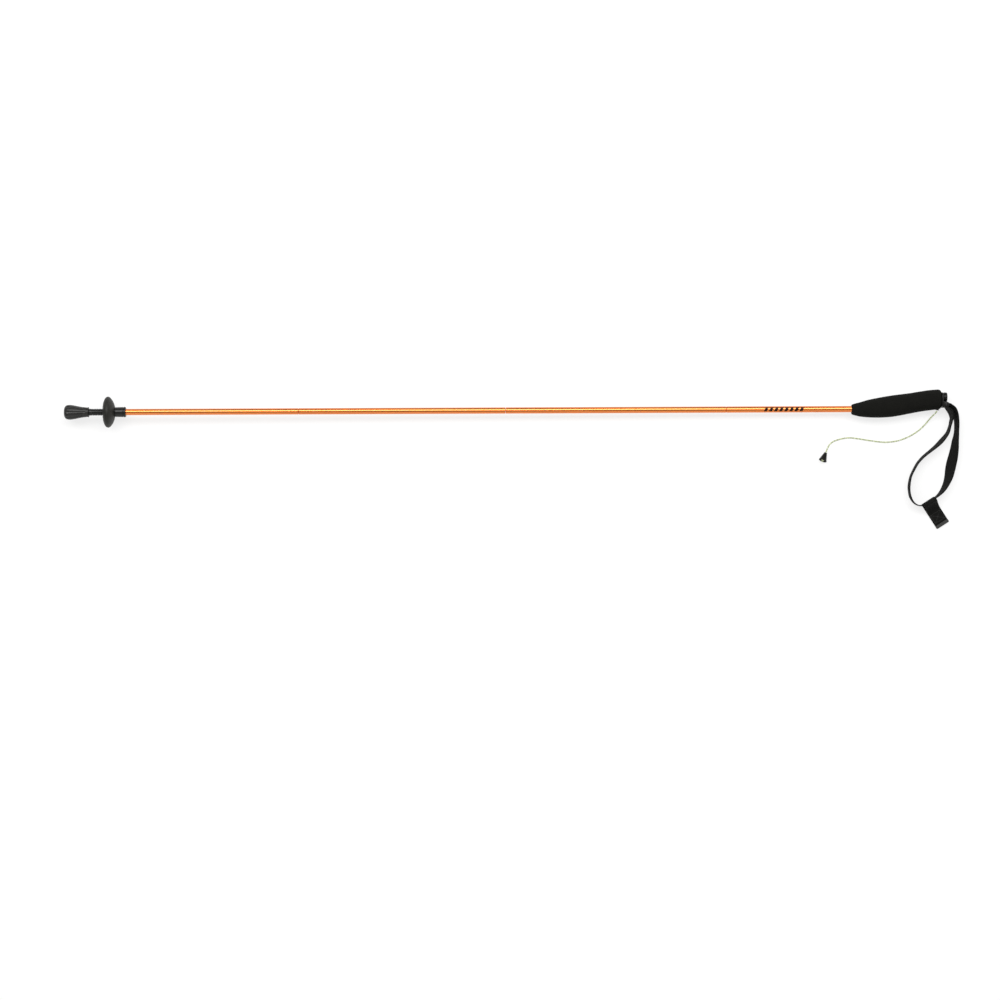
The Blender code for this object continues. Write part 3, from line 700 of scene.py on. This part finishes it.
def cord_along(points, radius, sides=12, closed=False):
    """A round cord along a route, with its ring of points carried on without a twist."""
    rings = []
    side = None
    count = len(points)
    for k, point in enumerate(points):
        if closed:
            ahead = (points[(k + 1) % count] - points[k - 1]).normalized()
        else:
            ahead = (points[min(k + 1, count - 1)] - points[max(k - 1, 0)]).normalized()
        if side is None:
            side = ahead.orthogonal().normalized()
        side = (side - ahead * side.dot(ahead)).normalized()
        other = ahead.cross(side)
        ring = []
        for n in range(sides):
            angle = 2 * math.pi * n / sides
            ring.append(point + (side * math.cos(angle) + other * math.sin(angle)) * radius)
        rings.append(ring)
    around = [n / sides for n in range(sides + 1)]
    return skin(rings, closed, run_lengths(points, closed), around)


def webbing_along(points, acrosses, width, thickness, closed=False):
    """A flat band along a route: acrosses are the directions of its width. Its edges are rounded."""
    edge = thickness / width
    outline = [(-0.5, -0.22), (-0.5, 0.22), (-0.5 + edge * 0.3, 0.5)]
    outline += [(-0.5 + edge * 1.6, 0.46), (-0.25, 0.44), (0, 0.44), (0.25, 0.44), (0.5 - edge * 1.6, 0.46)]
    outline += [(0.5 - edge * 0.3, 0.5), (0.5, 0.22)]
    outline += [(-x, -y) for x, y in outline]
    around = [0.0]
    for (x0, y0), (x1, y1) in zip(outline, outline[1:] + outline[:1]):
        around.append(around[-1] + math.hypot((x1 - x0) * width, (y1 - y0) * thickness))
    rings = []
    count = len(points)
    for k, (point, across) in enumerate(zip(points, acrosses)):
        if closed:
            ahead = (points[(k + 1) % count] - points[k - 1]).normalized()
        else:
            ahead = (points[min(k + 1, count - 1)] - points[max(k - 1, 0)]).normalized()
        across = (across - ahead * across.dot(ahead)).normalized()
        through = ahead.cross(across)
        rings.append([point + across * width * x + through * thickness * y for x, y in outline])
    return skin(rings, closed, run_lengths(points, closed), around)


def make_piece(name, bm, place, mat, body, slot, *nodes):
    """An object of the picture from a bmesh in millimetres: it rides on a body and stands for CAD nodes."""
    bmesh.ops.recalc_face_normals(bm, faces=bm.faces)
    bmesh.ops.transform(bm, matrix=place @ Matrix.Diagonal((MM, MM, MM, 1)), verts=bm.verts)
    mesh = bpy.data.meshes.new(name)
    bm.to_mesh(mesh)
    bm.free()
    mesh.shade_smooth()
    mesh.set_sharp_from_angle(angle=math.radians(38))
    mesh.materials.append(mat)
    obj = bpy.data.objects.new(name, mesh)
    bpy.context.scene.collection.objects.link(obj)
    if body:
        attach(obj, body)
    if nodes:
        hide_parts(*nodes)
    return obj


def cut(obj, operation, *tools):
    """Cuts or joins bodies with Booleans, applied at once. The tools are bmeshes in the pole frame."""
    for tool in tools:
        cutter = make_piece("cutter", tool, POLE, obj.data.materials[0], None, None)
        mod = obj.modifiers.new("cut", "BOOLEAN")
        mod.operation = operation
        mod.object = cutter
        mod.solver = "EXACT"
        bpy.context.view_layer.update()
        depsgraph = bpy.context.evaluated_depsgraph_get()
        result = bpy.data.meshes.new_from_object(obj.evaluated_get(depsgraph))
        obj.modifiers.clear()
        obj.data = result
        bpy.data.objects.remove(cutter, do_unlink=True)
    obj.data.shade_smooth()
    obj.data.set_sharp_from_angle(angle=math.radians(38))


# ---------------------------------------------------------------- tension cord, made first


def make_pull_cord(yarn):
    straight = [BELL_START + BELL_AIM * d for d in (-4.0, 0.0, BELL_L - 5.6)]
    route = smooth_route([*CORD_ROUTE, BELL_START - BELL_AIM * 8.3], 0.7) + straight
    bm = cord_along(route, CORD_R)
    return make_piece("pull_cord_braid", bm, FLOOR, yarn, "handle", "cord_yarn", "pull_cord"), route


def make_knot(yarn):
    """An overhand knot in the bell's mouth, with its short cut end."""
    middle = BELL_START + BELL_AIM * (BELL_L - KNOT_DEPTH)
    turn = BELL_AIM.to_track_quat("Z", "Y").to_matrix()
    points = []
    for k in range(90):
        t = 2 * math.pi * k / 90
        x = math.sin(t) + 2 * math.sin(2 * t)
        y = math.cos(t) - 2 * math.cos(2 * t)
        points.append(middle + turn @ Vector((x * 0.6, y * 0.6, -math.sin(3 * t) * 0.8)))
    tail = [middle + BELL_AIM * d for d in (0.6, 1.4, 2.2, 3.0)]
    bm = joined(cord_along(points, 0.92, 10, closed=True), cord_along(tail, 0.85, 10))
    return make_piece("cord_overhand_knot", bm, FLOOR, yarn, "handle", "cord_yarn", "cord_knot")


def make_bell(plastic):
    """A thin hollow cone with a rolled rim and a few rings round its neck."""
    outer = [(0, 1.35), (0, 2.1), (0.4, 2.45), (1.2, 2.55), (1.5, 2.3), (2.0, 2.3), (2.3, 2.75)]
    outer += [(BELL_L - 2.0, 5.35), (BELL_L - 1.3, 5.75)]
    outer += [(BELL_L - 0.6, BELL_MOUTH_R), (BELL_L - 0.1, 5.85)]
    inner = [(BELL_L, 5.5), (BELL_L - 0.4, 5.05), (5.2, 2.5), (4.6, 1.9), (4.4, 1.35)]
    bm = aimed(turned(outer + inner, 56, closed=True), BELL_START, BELL_AIM)
    return make_piece("bell_cone", bm, FLOOR, plastic, "bell", "head_plastic", "cord_bell")


# ---------------------------------------------------------------- shaft


def make_tube(number, start, end, mat, body):
    edge = 0.35
    profile = [(start, BORE_R), (start, TUBE_R - edge), (start + edge, TUBE_R)]
    profile += [(end - edge, TUBE_R), (end, TUBE_R - edge), (end, BORE_R)]
    bm = turned(profile, 72, closed=True)
    make_piece(f"shaft_tube_{number}", bm, POLE, mat, body, "anodised_tube", f"tube_{number}")


def make_spigot(label, half, start, end, mat, body):
    edge = 0.4
    profile = [(start, SPIGOT_BORE_R), (start, SPIGOT_R - edge), (start + edge, SPIGOT_R)]
    profile += [(end - edge, SPIGOT_R), (end, SPIGOT_R - edge), (end, SPIGOT_BORE_R)]
    node = f"{label}_spigot_{half}_half"
    bm = turned(profile, 56, closed=True)
    make_piece(f"{label}_spigot_{half}", bm, POLE, mat, body, "bare_aluminium", node)


def make_fold_cord(label, joint_x, yarn):
    """The inner cord where it crosses a joint: straight, as at rest."""
    points = [Vector((joint_x + 20 - k * 0.5, 0, 0)) for k in range(81)]
    name = f"{label}_fold_cord"
    obj = make_piece(name, cord_along(points, CORD_R, 10), POLE, yarn, None, None)
    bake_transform(obj)


def make_shaft(yarn):
    orange = anodised()
    bare = bare_aluminium()
    bottoms = {"lower": TUBE_BOTTOM_X}
    bottoms["middle"] = JOINTS_X["lower"] + SPLIT
    bottoms["upper"] = JOINTS_X["middle"] + SPLIT
    for number, label in enumerate(("lower", "middle", "upper"), 1):
        joint_x = JOINTS_X[label]
        section = f"shaft_{number}"
        link = f"{label}_link"
        make_tube(number, bottoms[label], joint_x - SPLIT, orange, section)
        make_spigot(label, "top", joint_x + SPLIT, joint_x + SPIGOT_HALF, bare, link)
        make_spigot(label, "bottom", joint_x - SPIGOT_HALF, joint_x - SPLIT, bare, section)
        make_fold_cord(label, joint_x, yarn)
    make_tube(4, JOINTS_X["upper"] + SPLIT, TUBE_TOP_X, anodised(marked=True), "handle")


# ---------------------------------------------------------------- tip


def stem_thread(x, radius, angle):
    """A coarse thread cut into the neck, fading out at both ends."""
    if radius != STEM_R or not 38.0 < x < 73.0:
        return x, radius
    fade = min((x - 38.0) / 3.0, (73.0 - x) / 3.0, 1.0)
    wave = math.sin(2 * math.pi * x / 2.4 - angle)
    return x, radius - 0.42 * fade * min(max(0.5 - wave * 0.9, 0.0), 1.0)


def collar_ribs(x, radius, angle):
    """Shallow grip flats round the collar, and the thread below it."""
    if radius > 7.12 and 76.5 < x < 85.5:
        fade = min((x - 76.5) / 1.0, (85.5 - x) / 1.0, 1.0)
        return x, radius - 0.22 * fade * (0.5 + 0.5 * math.cos(18 * angle)) ** 2
    return stem_thread(x, radius, angle)


def make_tip_body(plastic):
    points = [(17.0, 0), (17.0, 2.5), (12.6, 2.5), (12.6, 3.2), (13.2, 3.7)]
    points += [(15.0, 4.1), (34.0, 4.55), (37.6, 5.0)]
    points += [(38.0 + 0.3 * k, STEM_R) for k in range(119)]
    points += [(COLLAR_X, STEM_R), (COLLAR_X, 6.8), (COLLAR_X + 0.35, 7.1)]
    points += [(76.0 + 0.5 * k, 7.15 + 0.02 * k) for k in range(21)]
    points += [(86.6, 7.05), (87.0, 7.05), (87.3, 7.5), (87.8, 7.7), (89.2, 7.65), (90.0, 7.2)]
    points += [(COLLAR_END_X, 6.3)]
    points += [(COLLAR_END_X, 5.05), (75.6, 5.05), (75.6, 0)]
    bm = turned(points, 72, shape=collar_ribs)
    make_piece("tip_moulding", bm, POLE, plastic, "shaft_1", "tip_plastic", "tip_body")


def crown(x, radius, angle):
    """Four notches in the front of the carbide point."""
    if x < 9.6 and radius > 1.4:
        return x + 0.9 * (0.5 + 0.5 * math.cos(4 * angle)) ** 2, radius
    return x, radius


def make_carbide_tip():
    points = [(10.0, 0), (9.5, 1.2), (9.1, 1.7), (9.4, 2.1), (10.6, 2.15), (11.4, 1.9)]
    points += [(16.6, 1.9), (16.6, 0)]
    bm = turned(points, 48, shape=crown)
    make_piece("carbide_point", bm, POLE, carbide(), "shaft_1", "steel", "carbide_tip")


def basket_ribs(x, radius, angle):
    """Radial hollows moulded into the face towards the tip, which leave sixteen low ribs."""
    if x < BASKET_RIM_X - 1.0 and 9.0 < radius < 21.0 and x < 63.0:
        fade = math.sin(math.pi * (radius - 9.0) / 12.0)
        return x + 0.8 * fade * (0.5 + 0.5 * math.cos(16 * angle)), radius
    return x, radius


def make_basket(plastic):
    """A lens-shaped disc: ribbed and flatter towards the tip, smooth and domed towards the shaft."""
    end_x = COLLAR_X - 0.3
    front = [(BASKET_X, 7.4), (57.3, 11.0), (57.8, 14.6), (58.7, 17.6), (60.1, 20.3), (62.0, 22.2)]
    front += [(BASKET_RIM_X, 23.0)]
    back = [(BASKET_RIM_X, 23.0), (66.4, 22.2), (68.4, 20.2), (70.6, 17.2), (72.6, 13.0), (73.7, 9.2)]
    back += [(end_x, 7.4)]
    front = [(p.x, p.y) for p in smooth_route([(x, r, 0) for x, r in front], 0.7)]
    back = [(p.x, p.y) for p in smooth_route([(x, r, 0) for x, r in back], 0.7)]
    edge = 0.4
    profile = [(BASKET_X + edge, BASKET_BORE_R), (BASKET_X, BASKET_BORE_R + edge), *front, *back[1:]]
    profile += [(end_x, BASKET_BORE_R + edge), (end_x - edge, BASKET_BORE_R)]
    bm = turned(profile, 96, closed=True, shape=basket_ribs)
    make_piece("basket_disc", bm, POLE, plastic, "trail_basket", "basket_plastic", "basket")


def protector_flutes(x, radius, angle):
    """Eight flutes that run out before the two ends."""
    if radius < 6.75 or x > 33.0:
        return x, radius
    fade = min(max((x - 1.6) / 5.0, 0.0), 1.0) * min(max((33.0 - x) / 6.0, 0.0), 1.0)
    groove = max(0.0, math.cos(8 * angle)) ** 0.8
    return x, radius - 0.85 * fade * groove


def make_tip_protector():
    """A fluted rubber boot with ring-shaped treads in its end and a lip round its mouth."""
    outline = [(0.6, 0), (0.6, 1.6), (0, 1.8), (0, 2.9), (0.7, 3.1), (0.7, 3.9), (0, 4.1), (0, 6.3)]
    side = [(0, 6.3), (0.9, 8.2), (2.6, 9.9), (5.0, 10.8), (7.6, 11.0), (11.0, 10.8), (17.0, 9.7)]
    side += [(25.0, 8.1), (33.2, 7.1)]
    outline += [(p.x, p.y) for p in smooth_route([(x, r, 0) for x, r in side], 0.8)][1:]
    outline += [(33.7, 6.8), (34.1, 6.8), (34.5, 7.35), (35.5, 7.4), (PROTECTOR_L, 7.0), (PROTECTOR_L, 5.5)]
    outline += [(35.6, 5.2), (14.0, 4.6), (7.2, 4.5), (7.2, 0)]
    bm = turned(outline, 96, shape=protector_flutes)
    make_piece("protector_boot", bm, POLE, rubber(), "protector", "protector_rubber", "tip_protector")


# ---------------------------------------------------------------- grip


GRIP_STATIONS = (
    (1158.3, -0.6, 6.4, 6.4),
    (1159.1, -0.6, 7.4, 7.4),
    (1164.0, -0.6, 8.9, 8.8),
    (1171.0, -0.5, 10.6, 10.3),
    (1182.0, 0.5, 12.8, 12.3),
    (1194.0, 1.5, 14.3, 13.6),
    (1206.0, 2.7, 15.3, 14.3),
    (1218.0, 4.1, 15.8, 14.5),
    (1230.0, 5.8, 15.6, 14.6),
    (1244.0, 8.0, 15.1, 14.6),
    (1258.0, 10.4, 14.9, 14.4),
    (1272.0, 12.4, 14.9, 14.3),
    (1282.0, 13.4, 14.8, 14.2),
    (1286.6, 13.7, 14.6, 14.0),
    (1288.8, 13.8, 13.8, 13.2),
    (1289.7, 13.8, 12.7, 12.2),
    (1290.0, 13.8, 11.4, 11.0),
)


def grip_rings(spacing, sides):
    """Rings at an even spacing along a smooth curve through the stations of the grip's outer shape."""
    upper = smooth_route([(x, half_y, 0) for x, _, half_y, _ in GRIP_STATIONS], spacing)
    rings = []
    for place in upper:
        k = 0
        while k < len(GRIP_STATIONS) - 2 and GRIP_STATIONS[k + 1][0] < place.x:
            k += 1
        a, b = GRIP_STATIONS[k], GRIP_STATIONS[k + 1]
        t = min(max((place.x - a[0]) / (b[0] - a[0]), 0.0), 1.0)
        before = GRIP_STATIONS[max(k - 1, 0)]
        after = GRIP_STATIONS[min(k + 2, len(GRIP_STATIONS) - 1)]
        slope_a = (b[1] - before[1]) / (b[0] - before[0]) * (b[0] - a[0])
        slope_b = (after[1] - a[1]) / (after[0] - a[0]) * (b[0] - a[0])
        centre = a[1] * (1 + 2 * t) * (1 - t) ** 2 + slope_a * t * (1 - t) ** 2
        centre += b[1] * t * t * (3 - 2 * t) + slope_b * t * t * (t - 1)
        ratio = (a[3] / a[2]) * (1 - t) + (b[3] / b[2]) * t
        rings.append(oval(place.x, centre, place.y, place.y * ratio, sides, power=2.15))
    return rings


def core_axis_rings(radius, start, end, sides):
    stations = ((start, 0.0), (1217, 0.0), (1228, 1.4), (1240, 3.6), (1260, 7.4), (1280, 11.2))
    stations += ((end, CORE_END_Y),)
    return [oval(x, y, radius, radius, sides) for x, y in stations]


def ferrule_line():
    outwards = Vector((-0.2, -0.98, 0)).normalized()
    return Vector((1284.2, -2.0, 0)), outwards


def make_grip_foam():
    """Ground foam with a slightly uneven skin, open at the shaft and at the head."""
    sides = 72
    outer = grip_rings(1.4, sides)
    for n, ring in enumerate(outer[4:-5], 4):
        middle = Vector((ring[0][0], sum(p[1] for p in ring) / sides, 0))
        for k, point in enumerate(ring):
            place = Vector(point)
            lift = 0.09 * noise.noise(place * 0.35) + 0.05 * noise.noise(place * 1.1)
            ring[k] = tuple(place + (place - middle).normalized() * lift)
    inner = [oval(1158.3, 0, 5.05, 5.05, sides), oval(CORE_X - 0.3, 0, 5.05, 5.05, sides)]
    inner += core_axis_rings(CORE_R + 0.3, CORE_X - 0.3, GRIP_END_X, sides)
    bm = skin([*outer, *reversed(inner)], True)
    grip = make_piece("grip_foam_skin", bm, POLE, eva_foam(), "handle", "grip_foam", "grip_foam")
    end, outwards = ferrule_line()
    bore = rod_between(end - outwards * 7.0, end + outwards * 4, 2.9)
    seat = rod_between(end - outwards * 1.5, end + outwards * 4, 3.7)
    cut(grip, "DIFFERENCE", bore, seat)


def make_ferrule(plastic):
    profile = rounded(
        [(0, 1.35), (0, 2.6), (4.2, 2.6), (4.2, 3.4), (5.2, 3.3), (5.2, 1.7), (4.6, 1.35)],
        (0, 0, 0, 0.2, 0.5, 0.3, 0),
    )
    end, outwards = ferrule_line()
    bm = aimed(turned(profile, 40, closed=True), end - outwards * 5.2, outwards)
    make_piece("ferrule_ring", bm, POLE, plastic, "handle", "head_plastic", "cord_ferrule")


def make_grip_head(plastic):
    """The end plate, its edge rounded, with two round-ended lugs for the strap pin."""
    front = HEAD_PLATE_X + HEAD_PLATE_T
    lug_r = 4.2
    rings = []
    edges = ((0, 0.35), (0.12, 0.12), (0.35, 0), (1.5, 0), (1.85, 0.12), (2.15, 0.4), (2.34, 0.8))
    for x, inset in (*edges, (HEAD_PLATE_T, 1.3)):
        rings.append(oval(HEAD_PLATE_X + x, 13.2, 11.0 - inset, 13.2 - inset, 72, power=3.4))
    plate = skin(rings, False)
    head = make_piece("head_plate", plate, POLE, plastic, "handle", "head_plastic", "grip_head")
    lugs = []
    for side in (1, -1):
        stack = []
        for z, inset in ((10.6, 0.25), (10.75, 0.05), (11.0, 0), (12.5, 0), (12.75, 0.08), (12.9, 0.3)):
            outline = [(HEAD_PLATE_X + 0.6, PIN_Y - lug_r + inset)]
            for k in range(17):
                angle = math.radians(-90 + 180 * k / 16)
                reach = lug_r - inset
                outline.append((PIN_X + reach * math.cos(angle), PIN_Y + reach * math.sin(angle)))
            outline.append((HEAD_PLATE_X + 0.6, PIN_Y + lug_r - inset))
            stack.append([(x, y, z * side) for x, y in outline])
        lugs.append(skin(stack, False))
    cut(head, "UNION", *lugs)
    pin_hole = rod_between((PIN_X, PIN_Y, -20), (PIN_X, PIN_Y, 20), PIN_R + 0.3)
    cap_hole = rod_between((1285, CAP_Y, 0), (front + 4, CAP_Y, 0), 2.9)
    cut(head, "DIFFERENCE", pin_hole, cap_hole)


def make_head_cap(plastic):
    """The round cap that holds the head on, with a coin slot's shallow dish in its end."""
    outline = [(1284.0, 0), (1284.0, 2.6), (1293.0, 2.6), (1293.0, 6.3), (1294.3, 6.3), (1294.3, 7.0)]
    outline += [(CAP_END_X, 7.0), (CAP_END_X, 4.4), (CAP_END_X - 0.5, 4.1), (CAP_END_X - 0.6, 0)]
    profile = rounded(outline, (0, 0.4, 0.2, 0.3, 0.2, 0.4, 1.4, 0.2, 0.2, 0))
    bm = turned(profile, 72, centre=(CAP_Y, 0))
    make_piece("head_cap_round", bm, POLE, plastic, "handle", "head_plastic", "head_cap")


def make_strap_pin():
    profile = rounded([(-12.6, 0), (-12.6, PIN_R), (12.6, PIN_R), (12.6, 0)], (0, 0.3, 0.3, 0))
    bm = aimed(turned(profile, 32), Vector((PIN_X, PIN_Y, 0)), Vector((0, 0, 1)))
    make_piece("strap_pin_rod", bm, POLE, blackened_steel(), "handle", "steel", "strap_pin")


# ---------------------------------------------------------------- strap


def strap_controls():
    wrap_r = PIN_R + 0.45 + STRAP_T / 2
    route = []
    for degrees in (-135, -180, -225, -270, -315):
        angle = math.radians(degrees)
        route.append((PIN_X + wrap_r * math.cos(angle), PIN_Y + wrap_r * math.sin(angle), 0))
    return [*route, *STRAP_OUTER, *STRAP_INNER]


def strap_height(place, tilt):
    """Height of the band's middle: at the pin's middle there, and lying on the surface further out."""
    lying = STRAP_W / 2 * math.cos(tilt) + STRAP_T / 2 * abs(math.sin(tilt)) + 0.2
    from_pin = math.hypot(place.x - PIN_X, place.y - PIN_Y)
    settle = min(max((from_pin - 8.0) / 45.0, 0.0), 1.0)
    settle = settle * settle * (3 - 2 * settle)
    at_pin = AXIS_HEIGHT - PIN_X * math.tan(LEAN)
    return at_pin + (lying - at_pin) * settle


def make_strap(mat):
    """The loop of webbing, on its edge, leaning over where it lies flatter."""
    marks = [(x, y, lean * LEAN_SCALE) for x, y, lean in strap_controls()]
    places = smooth_route(marks, 0.9, cyclic=True)
    tilts = [math.radians(place.z / LEAN_SCALE) for place in places]
    for place, tilt in zip(places, tilts):
        place.z = strap_height(place, tilt)
    acrosses = []
    for k, tilt in enumerate(tilts):
        ahead = (places[(k + 1) % len(places)] - places[k - 1]).normalized()
        outwards = Vector((-ahead.y, ahead.x, 0)).normalized()
        acrosses.append(Vector((0, 0, 1)) * math.cos(tilt) + outwards * math.sin(tilt))
    bm = webbing_along(places, acrosses, STRAP_W, STRAP_T, closed=True)
    strap = make_piece("strap_loop", bm, FLOOR, mat, "wrist_strap", "webbing", "strap_webbing")


def tab_frame():
    left = Vector((1263.9, -143.3, 0))
    right = Vector((1281.6, -132.0, 0))
    across = (right - left).normalized()
    along = Vector((across.y, -across.x, 0))
    return (left + right) / 2 + along * (STRAP_T / 2 + 1.0), along, across


def make_tab(mat):
    """Webbing folded round the band and sewn flat: distance from the band and height along its route."""
    start, along, across = tab_frame()
    side = ((34.0, 1.0), (24.0, 1.0), (14.0, 1.0), (4.0, 1.1), (-1.6, 1.4), (-3.6, 3.2))
    side += ((-4.1, 8.0), (-4.1, 16.0))
    side += ((-3.4, 20.6), (-1.6, 22.0), (0.6, 20.9), (3.0, 16.6), (6.5, 10.4), (10.5, 5.0), (14.0, 2.9))
    side += ((18.0, 2.45), (26.0, 2.42), (33.6, 2.42))
    route = [start + along * s + Vector((0, 0, z)) for s, z in side]
    points = smooth_route(route, 0.8)
    bm = webbing_along(points, [across] * len(points), TAB_W, 1.35)
    make_piece("tab_fold", bm, FLOOR, mat, "wrist_strap", "webbing", "strap_tab")


def stitch_row(start, end, pitch=2.6, radius=0.2):
    """A row of short raised stitches between two points on the tab."""
    line = end - start
    count = max(1, int(line.length / pitch))
    parts = []
    for k in range(count):
        a = start + line * ((k + 0.12) / count)
        b = start + line * ((k + 0.88) / count)
        sag = Vector((0, 0, radius * 0.8))
        parts.append(cord_along([a - sag, a.lerp(b, 0.2), a.lerp(b, 0.8), b - sag], radius, 6))
    return parts


def make_stitching():
    """Two cross rows and a boxed cross that hold the tab's layers together."""
    start, along, across = tab_frame()
    top = Vector((0, 0, 3.12))
    near, far, half = 17.0, 30.5, TAB_W / 2 - 2.4
    places = ((near, -half), (near, half), (far, half), (far, -half))
    corners = [start + along * s + across * h + top for s, h in places]
    parts = []
    for k in range(4):
        parts += stitch_row(corners[k], corners[(k + 1) % 4])
    parts += stitch_row(corners[0], corners[2])
    parts += stitch_row(corners[1], corners[3])
    make_piece("tab_stitches", joined(*parts), FLOOR, thread(), "wrist_strap", "webbing")


def make_tab_clip():
    """A moulded end on the tab, with rounded corners and three low ridges."""
    start, along, across = tab_frame()
    middle = start + Vector((0, 0, 2.2))
    half_w = TAB_W / 2 + 0.2
    rings = []
    for step in range(33):
        s = CLIP_L * step / 32
        end = min(s / 0.35, 1.0)
        nose = max(0.0, (s - (CLIP_L - 1.6)) / 1.6)
        shrink = 1 - math.sqrt(max(0.0, 1 - min(nose, 0.995) ** 2))
        ridge = 0.18 * max(0.0, math.sin(2 * math.pi * (s - 0.6) / 1.25)) * (s < CLIP_L - 1.2)
        half_h = (1.85 + ridge) * (0.8 + 0.2 * end) * (1 - 0.75 * shrink)
        reach = half_w - 1.5 * shrink - 0.3 * (1 - end)
        ring = []
        for k in range(48):
            angle = 2 * math.pi * k / 48
            c, sn = math.cos(angle), math.sin(angle)
            u = math.copysign(abs(c) ** 0.16, c) * reach
            v = math.copysign(abs(sn) ** 0.35, sn) * half_h
            ring.append(middle + along * (TAB_L + s) + across * u + Vector((0, 0, v)))
        rings.append(ring)
    plastic = moulded("clip_plastic", (0.016, 0.016, 0.015), (0.028, 0.028, 0.026), (0.4, 0.55), 0.02)
    bm = skin(rings, False)
    make_piece("tab_end_cap", bm, FLOOR, plastic, "wrist_strap", "clip_plastic", "tab_end_clip")


# ---------------------------------------------------------------- pieces carried over from the CAD


def finish_hidden_nodes(yarn, plastic):
    """Inner pieces keep their CAD shape and get a proper finish."""
    metal = steel()
    finishes = {"grip_core": plastic, "cord_anchor": plastic, "protector_washer": metal}
    for name in ("inner_cord_1", "inner_cord_2", "inner_cord_3", "inner_cord_4", "inner_cord_grip"):
        finishes[name] = yarn
    for name, mat in finishes.items():
        slots = frame["nodes"][name].material_slots
        for slot in slots:
            slot.material = mat


# ---------------------------------------------------------------- the whole picture

make_camera()
yarn = braided_yarn()
head_plastic = moulded(
    "head_plastic", (0.004, 0.004, 0.0036), (0.009, 0.009, 0.008), (0.28, 0.38), specular=0.18
)
tip_plastic = moulded("tip_plastic", (0.004, 0.004, 0.0036), (0.009, 0.009, 0.0082), (0.24, 0.34))
basket_plastic = moulded(
    "basket_plastic", (0.008, 0.0078, 0.006), (0.014, 0.0136, 0.0106), (0.46, 0.58), 0.02
)

cord, cord_route = make_pull_cord(yarn)
knot = make_knot(yarn)
bell = make_bell(head_plastic)

make_studio()
make_shaft(yarn)
make_tip_body(tip_plastic)
make_carbide_tip()
make_basket(basket_plastic)
make_tip_protector()
make_grip_foam()
make_ferrule(head_plastic)
make_grip_head(head_plastic)
make_head_cap(head_plastic)
make_strap_pin()
strap_weave = webbing()
make_strap(strap_weave)
make_tab(strap_weave)
make_stitching()
make_tab_clip()
finish_hidden_nodes(yarn, head_plastic)
